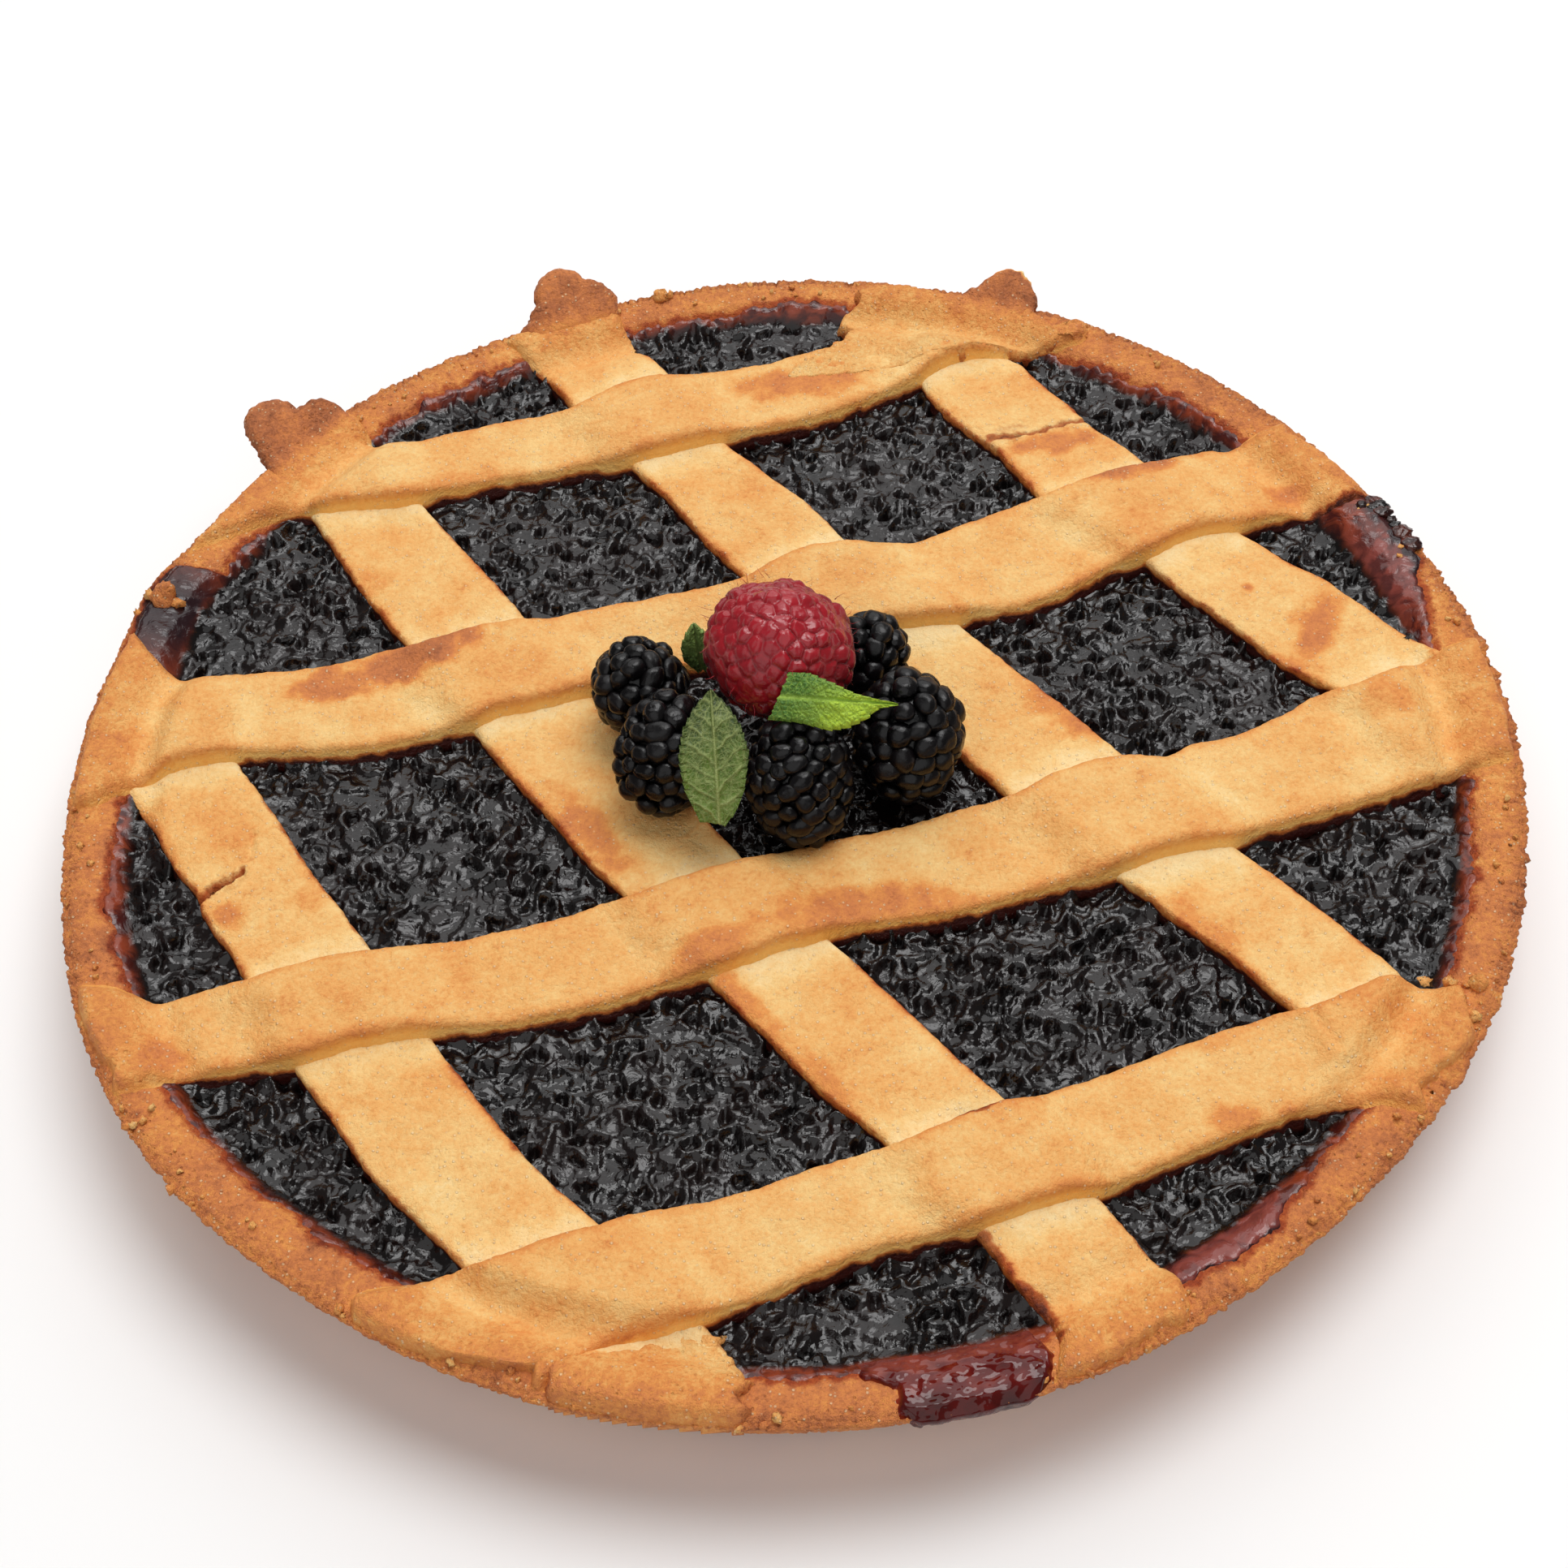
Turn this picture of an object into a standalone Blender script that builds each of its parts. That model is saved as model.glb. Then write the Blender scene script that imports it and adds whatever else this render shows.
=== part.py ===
"""Jam crostata, 25 cm across: a baked shortcrust shell filled with dark jam,
under a hand-laid lattice of pastry strips, four running one way laid over four
running the other. Five dark berries, one red berry and three mint leaves sit
in the middle. Metres, +Z up, base on Z = 0, axis of the tart on the origin."""

import math

import bmesh
import bpy
import numpy as np
from mathutils import Vector

MM = 0.001

# Shell, mm
RIM_R = 124.2          # mean outer radius of the rim
BASE_R = 112.3         # radius of the flat underside
RIM_Z = 23.2           # top of the rim
FLOOR_T = 5.8          # pastry floor
RIM_W = 8.6            # rim width, seen from above
SHELL_SIDES = 72

# Filling and lattice, mm
JAM_Z = 19.3           # mean level of the jam
JAM_SIDES = 36
GAP = 0.45             # clearance left between neighbouring solids
UNDER_RISE = 3.0       # lower strips stand this far out of the jam
UNDER_T = 2.4          # their thickness in the shell
OVER_T = 4.2           # thickness of the upper strips
END_T = 1.7            # strips pressed onto the rim thin down to this

# Lower strips, laid first, from the back left to the front right.
# Each station is (y, left x, right x).
UNDER = {
    "strip_under_1": [(9, -117, -99), (-3, -110, -91), (-20, -100, -80), (-37, -90, -68),
                      (-56, -78, -56), (-76, -64, -41), (-94, -50, -27), (-108, -34, -13), (-120, -32, -13)],
    "strip_under_2": [(95, -98, -86), (88, -101, -80), (76, -95, -73), (58, -83, -61), (40, -72, -49),
                      (20, -58, -35), (0, -46, -23), (-24, -29, -7), (-46, -9, 11), (-66, 5, 28),
                      (-86, 20, 42), (-104, 34, 55), (-114, 36, 53)],
    "strip_under_3": [(129, -43, -36), (122, -45, -30), (112, -46, -28), (100, -41, -20), (80, -29, -9),
                      (60, -17, 8), (40, -3, 21), (20, 12, 38), (0, 27, 51), (-18, 40, 65),
                      (-38, 59, 86), (-56, 76, 102), (-66, 84, 104)],
    "strip_under_4": [(121, 46, 54), (114, 41, 55), (104, 34, 51), (92, 31, 54), (76, 41, 65),
                      (58, 53, 77), (40, 68, 93), (24, 80, 110), (8, 95, 119), (-3, 104, 119)],
}

# Upper strips, laid across them. Each station is (x, front y, back y).
OVER = {
    "strip_over_1": [(-115, 54, 60), (-106, 54, 72), (-92, 64, 80), (-72, 67, 81), (-50, 71, 85),
                     (-25, 75, 94), (0, 80, 98), (14, 84, 103), (25, 89, 116), (40, 97, 115), (58, 100, 105)],
    "strip_over_2": [(-122, -2, 32), (-110, 4, 27), (-92, 6, 24), (-68, 7, 28), (-45, 13, 34),
                     (-20, 21, 38), (8, 28, 48), (35, 32, 51), (62, 40, 62), (84, 49, 67), (102, 54, 69), (113, 55, 60)],
    "strip_over_3": [(-112, -56, -47), (-100, -60, -44), (-78, -55, -39), (-52, -52, -36), (-25, -47, -29),
                     (0, -39, -22), (25, -36, -17), (50, -28, -7), (75, -22, -3), (98, -17, 8), (113, -13, 15), (123, -9, 12)],
    "strip_over_4": [(-58, -106, -99), (-46, -113, -96), (-30, -108, -91), (-8, -103, -85), (15, -96, -78),
                     (36, -88, -70), (56, -83, -64), (78, -76, -57), (94, -72, -53), (104, -66, -58)],
}

# Berries: centre, half width, half length and the way the long axis leans.
BERRIES = {
    "dark_berry_1": ((-24.6, 10.2, 32.3), 7.8, 8.2, (0.3, -0.2, 1.0)),
    "dark_berry_2": ((-20.3, -6.7, 33.4), 7.8, 10.0, (0.15, 0.55, 0.8)),
    "dark_berry_3": ((2.8, -12.0, 31.3), 9.2, 11.4, (-0.05, 0.5, 0.85)),
    "dark_berry_4": ((21.6, -4.0, 31.5), 9.5, 11.2, (0.1, 0.45, 0.9)),
    "dark_berry_5": ((15.6, 17.6, 31.3), 7.5, 7.9, (0.2, 0.2, 0.95)),
}
RED_BERRY = ((-0.4, 9.0, 42.2), 12.1, 11.0, (0.25, -0.62, 0.75))


def clear_scene():
    for obj in list(bpy.data.objects):
        bpy.data.objects.remove(obj, do_unlink=True)


def material(name, colour, roughness):
    made = bpy.data.materials.new(name)
    made.use_nodes = True
    shader = made.node_tree.nodes["Principled BSDF"]
    shader.inputs["Base Color"].default_value = (*colour, 1.0)
    shader.inputs["Roughness"].default_value = roughness
    shader.inputs["Metallic"].default_value = 0.0
    made.diffuse_color = (*colour, 1.0)
    return made


def add_object(name, points, faces, surface):
    mesh = bpy.data.meshes.new(name)
    mesh.from_pydata([Vector(p) * MM for p in points], [], faces)
    build = bmesh.new()
    build.from_mesh(mesh)
    bmesh.ops.recalc_face_normals(build, faces=build.faces)
    build.to_mesh(mesh)
    build.free()
    mesh.materials.append(surface)
    obj = bpy.data.objects.new(name, mesh)
    bpy.context.scene.collection.objects.link(obj)
    return obj


# ---------------------------------------------------------------- surfaces

def smoothstep(low, high, value):
    t = np.clip((value - low) / (high - low), 0.0, 1.0)
    return t * t * (3.0 - 2.0 * t)


def smooth_max(a, b, blend):
    h = np.clip(0.5 + 0.5 * (a - b) / blend, 0.0, 1.0)
    return b + (a - b) * h + blend * h * (1.0 - h)


def rim_radius(theta):
    """Outer radius of the rim: hand-shaped, so a little off round."""
    return (RIM_R + 0.7 * np.cos(theta - 0.4) + 0.9 * np.cos(2 * theta - 0.5)
            + 0.6 * np.cos(3 * theta + 1.0) + 0.45 * np.cos(5 * theta + 0.6) + 0.3 * np.sin(9 * theta))


def rim_height(theta):
    return RIM_Z + 0.35 * np.sin(2 * theta + 0.8) + 0.25 * np.sin(5 * theta) + 0.15 * np.sin(11 * theta + 1.0)


def jam_height(x, y):
    """Jam set in soft lumps."""
    return (JAM_Z + 0.35 * np.sin(0.19 * x + 0.7) * np.cos(0.17 * y)
            + 0.22 * np.sin(0.43 * x - 0.31 * y) + 0.15 * np.sin(0.37 * y + 0.52 * x + 2.0))


def rim_section(theta):
    """Half section of the shell, from the middle of the underside round to the middle of the floor."""
    r, z = float(rim_radius(theta)), float(rim_height(theta))
    return [
        (0.0, 0.0), (66.0, 0.0), (BASE_R - 2.0, 0.0), (BASE_R + 0.2, 1.1),
        (BASE_R + 3.9, 8.4), (r - 4.0, 15.6), (r - 0.9, z - 3.0), (r, z - 1.2),
        (r - 1.3, z - 0.1), (r - 0.55 * RIM_W, z), (r - 0.86 * RIM_W, z - 0.7), (r - RIM_W, z - 2.2),
        (r - RIM_W - 1.8, JAM_Z - 2.6), (r - RIM_W - 6.5, FLOOR_T + 2.2), (r - RIM_W - 14.0, FLOOR_T),
        (52.0, FLOOR_T), (0.0, FLOOR_T),
    ]


def shell_top(x, y):
    """Height of the rim above a point in plan, or well below the jam inside it."""
    theta = np.arctan2(y, x)
    inward = rim_radius(theta) - np.hypot(x, y)
    z = rim_height(theta)
    crown = z - 0.9 * smoothstep(0.50 * RIM_W, 0.95 * RIM_W, inward) - 1.3 * smoothstep(1.6, 0.0, inward)
    return np.where(inward < RIM_W, crown, z - 0.9 - 2.2 * (inward - RIM_W))


def at_station(stations, value):
    """Both edges of a strip at a distance along it, from its stations, by a smooth curve through them."""
    table = np.array(sorted(stations), float)
    key = table[:, 0]
    value = np.clip(value, key[0], key[-1])
    out = []
    for column in (1, 2):
        v = table[:, column]
        slope = np.gradient(v, key)
        i = np.clip(np.searchsorted(key, value) - 1, 0, len(key) - 2)
        h = key[i + 1] - key[i]
        t = (value - key[i]) / h
        out.append((2 * t**3 - 3 * t**2 + 1) * v[i] + (t**3 - 2 * t**2 + t) * h * slope[i]
                   + (3 * t**2 - 2 * t**3) * v[i + 1] + (t**3 - t**2) * h * slope[i + 1])
    return out


def under_top(name, x, y):
    """Top of one lower strip over a point in plan; far below where the strip isn't."""
    stations = UNDER[name]
    low, high = at_station(stations, y)
    half = 0.5 * (high - low)
    t = np.abs(x - 0.5 * (low + high)) / half
    ends = sorted(s[0] for s in stations)
    over_end = np.maximum(np.maximum(ends[0] - y, y - ends[-1]), 0.0)
    rim = np.maximum(shell_top(x, y), shell_top(1.036 * x, 1.036 * y))
    level = smooth_max(JAM_Z + UNDER_RISE + 0.4, rim + GAP + END_T + 0.5, 2.0)
    return level - 16.0 * np.maximum(t - 1.0, 0.0) * half / 10.0 - 2.0 * over_end


# ---------------------------------------------------------------- shell and filling

def ring_solid(name, sections, surface):
    """One closed solid from half sections placed round the axis. Each starts and ends on the axis."""
    count, length = len(sections), len(sections[0])
    points, faces, index = [], [], {}
    for k, section in enumerate(sections):
        theta = 2 * math.pi * k / count
        for j, (r, z) in enumerate(section):
            on_axis = j in (0, length - 1)
            key = ("axis", j) if on_axis else (k, j)
            if key not in index:
                index[key] = len(points)
                points.append((r * math.cos(theta), r * math.sin(theta), z))

    def at(k, j):
        return index[("axis", j) if j in (0, length - 1) else (k % count, j)]

    for k in range(count):
        for j in range(length - 1):
            corners = [at(k, j), at(k + 1, j), at(k + 1, j + 1), at(k, j + 1)]
            faces.append(list(dict.fromkeys(corners)))
    return add_object(name, points, faces, surface)


def make_crust():
    sections = [rim_section(2 * math.pi * k / SHELL_SIDES) for k in range(SHELL_SIDES)]
    return ring_solid("crust", sections, material("crust", (0.55, 0.27, 0.10), 0.72))


def make_jam():
    sections = []
    for k in range(JAM_SIDES):
        theta = 2 * math.pi * k / JAM_SIDES
        shell = rim_section(theta)
        (r_high, z_high), (r_low, z_low), (r_floor, _) = shell[12], shell[13], shell[14]
        r_lip = shell[11][0]
        section = [(0.0, FLOOR_T + GAP), (r_floor - 1.0, FLOOR_T + GAP),
                   (r_low - 0.9, z_low + 0.3), (r_high - 0.8, z_high), (r_lip - 1.6, JAM_Z - 0.2)]
        for part in (0.94, 0.72, 0.46, 0.22):
            r = (r_lip - 1.6) * part
            section.append((r, float(jam_height(r * math.cos(theta), r * math.sin(theta)))))
        section.append((0.0, float(jam_height(0.0, 0.0))))
        sections.append(section)
    return ring_solid("jam_filling", sections, material("jam_filling", (0.035, 0.008, 0.014), 0.22))


# ---------------------------------------------------------------- lattice

def strip_solid(name, places, surface):
    """A closed bar swept through cross sections of eight points each."""
    points = [p for section in places for p in section]
    count = len(places[0])
    faces = []
    for i in range(len(places) - 1):
        for j in range(count):
            a, b = i * count + j, i * count + (j + 1) % count
            faces.append([a, b, b + count, a + count])
    faces.append(list(range(count))[::-1])
    faces.append([(len(places) - 1) * count + j for j in range(count)])
    return add_object(name, points, faces, surface)


# Across a strip: place between its edges, and height as a part of its thickness.
TOP_SHAPE = [(-0.97, 0.52), (-0.80, 0.95), (0.0, 1.0), (0.80, 0.95), (0.97, 0.52)]
BOTTOM_SHAPE = [0.93, 0.45, 0.0, -0.45, -0.93]


def along(ends, i, steps):
    """Distance along a strip: its cross sections stand closer together near the rim."""
    v = 2 * i / steps - 1
    return 0.5 * (ends[0] + ends[-1]) + 0.5 * (ends[-1] - ends[0]) * (0.45 * v + 0.55 * math.sin(0.5 * math.pi * v))


REACH = 4.2


def reach_max(height, x, y, reach):
    """Highest value of a surface near a point, so that a bar laid on it clears it."""
    a = np.arange(8) * math.pi / 4
    near = np.concatenate([[0.0], np.full(8, 0.5 * reach), np.full(8, reach)])
    a = np.concatenate([[0.0], a, a + 0.39])
    return np.max(height(x + near * np.cos(a), y + near * np.sin(a)))


def make_under(name, tone, steps):
    stations = UNDER[name]
    ends = sorted(s[0] for s in stations)
    colour = material(name, tone, 0.66)

    def bed(x, y):
        return np.maximum(jam_height(x, y) + 0.25, shell_top(x, y))

    places = []
    for i in range(steps + 1):
        y = along(ends, i, steps)
        low, high = (float(v) for v in at_station(stations, y))
        mid, half = 0.5 * (low + high), 0.5 * (high - low)
        section = []
        for part, rise in TOP_SHAPE:
            x = mid + half * part
            floor = float(reach_max(bed, x, y, REACH)) + GAP
            on_rim = float(smoothstep(JAM_Z + 0.8, RIM_Z - 0.4, floor - GAP))
            thick = UNDER_T * (1 - on_rim) + END_T * on_rim + 0.25 * math.sin(0.11 * y + part)
            section.append((x, y, floor + rise * thick))
        for part in BOTTOM_SHAPE:
            x = mid + half * part
            section.append((x, y, float(reach_max(bed, x, y, REACH)) + GAP))
        places.append(section)
    return strip_solid(name, places, colour)


def make_over(name, tone, steps):
    stations = OVER[name]
    ends = sorted(s[0] for s in stations)
    colour = material(name, tone, 0.66)

    def bed(x, y):
        height = np.maximum(jam_height(x, y) + 0.25, shell_top(x, y))
        for under in UNDER:
            height = np.maximum(height, under_top(under, x, y) + 0.6)
        return height

    places = []
    for i in range(steps + 1):
        x = along(ends, i, steps)
        low, high = (float(v) for v in at_station(stations, x))
        mid, half = 0.5 * (low + high), 0.5 * (high - low)
        section = []
        for part, rise in TOP_SHAPE:
            y = mid + half * part
            floor = float(reach_max(bed, x, y, REACH)) + GAP
            radius = math.hypot(x, y)
            on_rim = float(smoothstep(RIM_R - RIM_W - 8.0, RIM_R - 2.0, radius))
            thick = OVER_T * (1 - on_rim) + END_T * on_rim + 0.3 * math.sin(0.09 * x + part)
            section.append((x, y, floor + rise * thick))
        for part in BOTTOM_SHAPE:
            y = mid + half * part
            section.append((x, y, float(reach_max(bed, x, y, REACH)) + GAP))
        places.append(section)
    return strip_solid(name, places, colour)


# ---------------------------------------------------------------- toppings

def make_berry(name, centre, half_width, half_length, lean, colour, rows, around, bump, taper, flat):
    """A berry of rounded drupelets set in staggered rows about its long axis."""
    turn = Vector((0, 0, 1)).rotation_difference(Vector(lean).normalized())
    segments, rings = around * 2, rows * 2
    points, faces = [], []

    def place(u, v):
        lat = math.pi * (v / rings) - math.pi / 2
        phi = 2 * math.pi * u / segments
        row = int(v // 2)
        swell = bump * math.cos(lat) * (0.5 + 0.5 * math.cos(around * phi + math.pi * row)) * (1 if v % 2 else 0.15)
        up = math.sin(lat)
        radius = half_width * (math.cos(lat) ** 0.85) * (1 - taper * up) + swell
        height = half_length * up + 0.5 * bump * up
        if up < -0.6:
            height = max(height, -half_length * flat)
        return Vector(centre) + turn @ Vector((radius * math.cos(phi), radius * math.sin(phi), height))

    points.append(place(0, 0))
    for v in range(1, rings):
        for u in range(segments):
            points.append(place(u, v))
    points.append(place(0, rings))
    top = len(points) - 1
    for u in range(segments):
        w = (u + 1) % segments
        faces.append([0, 1 + w, 1 + u])
        for v in range(rings - 2):
            a = 1 + v * segments
            faces.append([a + u, a + w, a + segments + w, a + segments + u])
        a = 1 + (rings - 2) * segments
        faces.append([a + u, a + w, top])
    return add_object(name, points, faces, colour)


def make_leaf(name, base, tip, facing, width, arch, cup, thick, colour):
    """A pointed oval leaf: arched along its length, cupped across it."""
    base, tip = Vector(base), Vector(tip)
    along = tip - base
    length = along.length
    along.normalize()
    normal = Vector(facing)
    normal = (normal - along * normal.dot(along)).normalized()
    side = along.cross(normal)
    steps, across = 9, 4
    top, bottom = [], []
    for i in range(steps + 1):
        s = i / steps
        half = 0.5 * width * max(0.10, math.sin(math.pi * s ** 0.85) ** 0.8)
        for j in range(across + 1):
            t = -1 + 2 * j / across
            lift = arch * 4 * s * (1 - s) - cup * (t * half) ** 2 / (0.5 * width)
            point = base + along * (length * s) + side * (t * half) + normal * lift
            top.append(point + normal * thick / 2)
            bottom.append(point - normal * thick / 2)
    points = top + bottom
    n, row = len(top), across + 1
    faces = []
    for i in range(steps):
        for j in range(across):
            a = i * row + j
            faces.append([a, a + 1, a + row + 1, a + row])
            faces.append([n + a, n + a + row, n + a + row + 1, n + a + 1])
    rim = ([j for j in range(across)] + [i * row + across for i in range(steps)]
           + [steps * row + across - j for j in range(across)] + [(steps - i) * row for i in range(steps)])
    for a, b in zip(rim, rim[1:] + rim[:1]):
        faces.append([a, b, n + b, n + a])
    return add_object(name, points, faces, colour)


clear_scene()
bpy.context.scene.unit_settings.system = "METRIC"
bpy.context.scene.unit_settings.scale_length = 1.0

make_crust()
make_jam()
golden = (0.80, 0.49, 0.20)
pale = (0.85, 0.58, 0.27)
for number, steps in zip((1, 2, 3, 4), (20, 24, 24, 20)):
    make_under(f"strip_under_{number}", pale, steps)
for number, steps in zip((1, 2, 3, 4), (24, 28, 28, 24)):
    make_over(f"strip_over_{number}", golden, steps)

for berry, (centre, half_width, half_length, lean) in BERRIES.items():
    make_berry(berry, centre, half_width, half_length, lean,
               material(berry, (0.018, 0.012, 0.022), 0.3), 5, 9, 0.9, 0.06, 0.95)
centre, half_width, half_length, lean = RED_BERRY
make_berry("red_berry", centre, half_width, half_length, lean,
           material("red_berry", (0.45, 0.02, 0.045), 0.42), 6, 10, 0.6, 0.10, 0.80)

make_leaf("mint_leaf_1", (-10.6, -21.6, 31.0), (-11.4, -3.1, 44.4), (0.05, -0.60, 0.80), 12.2, 1.6, 0.12, 0.6,
          material("mint_leaf_1", (0.17, 0.33, 0.10), 0.5))
make_leaf("mint_leaf_2", (-1.8, -6.6, 45.4), (19.3, -7.4, 44.4), (0.05, -0.62, 0.79), 9.5, 0.6, 0.10, 0.6,
          material("mint_leaf_2", (0.24, 0.48, 0.07), 0.45))
make_leaf("mint_leaf_3", (-15.2, 17.6, 26.6), (-15.8, 17.8, 37.6), (0.1, -0.75, 0.65), 6.5, 0.5, 0.10, 0.6,
          material("mint_leaf_3", (0.15, 0.31, 0.08), 0.5))
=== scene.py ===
import math

import bpy
import numpy as np
from mathutils import Matrix, Vector


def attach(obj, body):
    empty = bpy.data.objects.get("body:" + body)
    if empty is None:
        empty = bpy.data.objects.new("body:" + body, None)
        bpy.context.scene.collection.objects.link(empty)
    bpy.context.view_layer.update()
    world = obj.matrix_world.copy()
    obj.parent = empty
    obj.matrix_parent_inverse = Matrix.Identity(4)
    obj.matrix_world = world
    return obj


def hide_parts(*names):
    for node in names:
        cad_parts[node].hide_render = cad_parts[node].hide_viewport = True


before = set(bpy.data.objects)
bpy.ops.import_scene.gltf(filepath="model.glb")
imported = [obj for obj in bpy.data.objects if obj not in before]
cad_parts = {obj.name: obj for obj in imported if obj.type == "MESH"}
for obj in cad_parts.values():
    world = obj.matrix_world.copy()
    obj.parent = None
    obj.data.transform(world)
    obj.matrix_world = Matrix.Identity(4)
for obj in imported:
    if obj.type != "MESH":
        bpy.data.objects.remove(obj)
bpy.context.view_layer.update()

# Jam crostata. Lengths here are in millimetres, and mesh() turns them into metres.
MM = 0.001
EYE = np.array([-0.1, -266.8, 357.0])
PLAN_Z = 25.0  # height of the plane in which the strips' edges are set out, as seen from EYE

RIM_R, RIM_Z, RIM_W, BASE_R = 124.2, 23.2, 8.6, 112.3
JAM_Z, UNDER_Z, OVER_Z, HUMP = 19.3, 22.3, 23.5, 2.5
PI2 = 2 * math.pi
COARSE = 1.0


# ------------------------------------------------------------------ noise

def hashed(ix, iy, seed):
    h = (ix.astype(np.int64) * 374761393 + iy.astype(np.int64) * 668265263 + seed * 974634777) & 0xFFFFFFFF
    h = ((h ^ (h >> 13)) * 1274126177) & 0xFFFFFFFF
    h = ((h ^ (h >> 15)) * 2246822519) & 0xFFFFFFFF
    return ((h ^ (h >> 16)) & 0xFFFFFFFF) / 4294967296.0


def noise(x, y, seed=0):
    x, y = np.broadcast_arrays(np.asarray(x, float), np.asarray(y, float))
    ix, iy = np.floor(x), np.floor(y)
    fx, fy = x - ix, y - iy

    def corner(i, j):
        a = hashed(ix + i, iy + j, seed) * PI2
        return np.cos(a) * (fx - i) + np.sin(a) * (fy - j)

    u = fx**3 * (fx * (fx * 6 - 15) + 10)
    v = fy**3 * (fy * (fy * 6 - 15) + 10)
    low = corner(0, 0) * (1 - u) + corner(1, 0) * u
    high = corner(0, 1) * (1 - u) + corner(1, 1) * u
    return 1.5 * (low * (1 - v) + high * v)


def fbm(x, y, seed=0, octaves=4, gain=0.5):
    total, size, norm = 0.0, 1.0, 0.0
    for k in range(octaves):
        total = total + size * noise(x * 2**k + 13.7 * k, y * 2**k - 7.1 * k, seed + k)
        norm += size
        size *= gain
    return total / norm


def cells(x, y, seed=0):
    """Distance to the nearest and second nearest scattered point, and a random number of the nearest."""
    ix, iy = np.floor(x), np.floor(y)
    first = np.full(np.shape(x), 9.0)
    second = first.copy()
    mark = np.zeros(np.shape(x))
    for i in (-1, 0, 1):
        for j in (-1, 0, 1):
            px = ix + i + hashed(ix + i, iy + j, seed)
            py = iy + j + hashed(ix + i, iy + j, seed + 31)
            d = np.hypot(px - x, py - y)
            near = d < first
            second = np.where(near, first, np.minimum(second, d))
            mark = np.where(near, hashed(ix + i, iy + j, seed + 57), mark)
            first = np.where(near, d, first)
    return first, second, mark


def step(low, high, value):
    t = np.clip((value - low) / (high - low), 0.0, 1.0)
    return t * t * (3 - 2 * t)


def mix(a, b, t):
    return a + (b - a) * t


def smooth_max(a, b, blend):
    h = np.clip(0.5 + 0.5 * (a - b) / blend, 0.0, 1.0)
    return b + (a - b) * h + blend * h * (1 - h)


def near_line(x, y, line):
    """Distance of plan points to a line of points."""
    best = np.full(np.shape(x), 1e3)
    for (ax, ay), (bx, by) in zip(line[:-1], line[1:]):
        dx, dy = bx - ax, by - ay
        t = np.clip(((x - ax) * dx + (y - ay) * dy) / (dx * dx + dy * dy), 0, 1)
        best = np.minimum(best, np.hypot(x - ax - t * dx, y - ay - t * dy))
    return best


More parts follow.
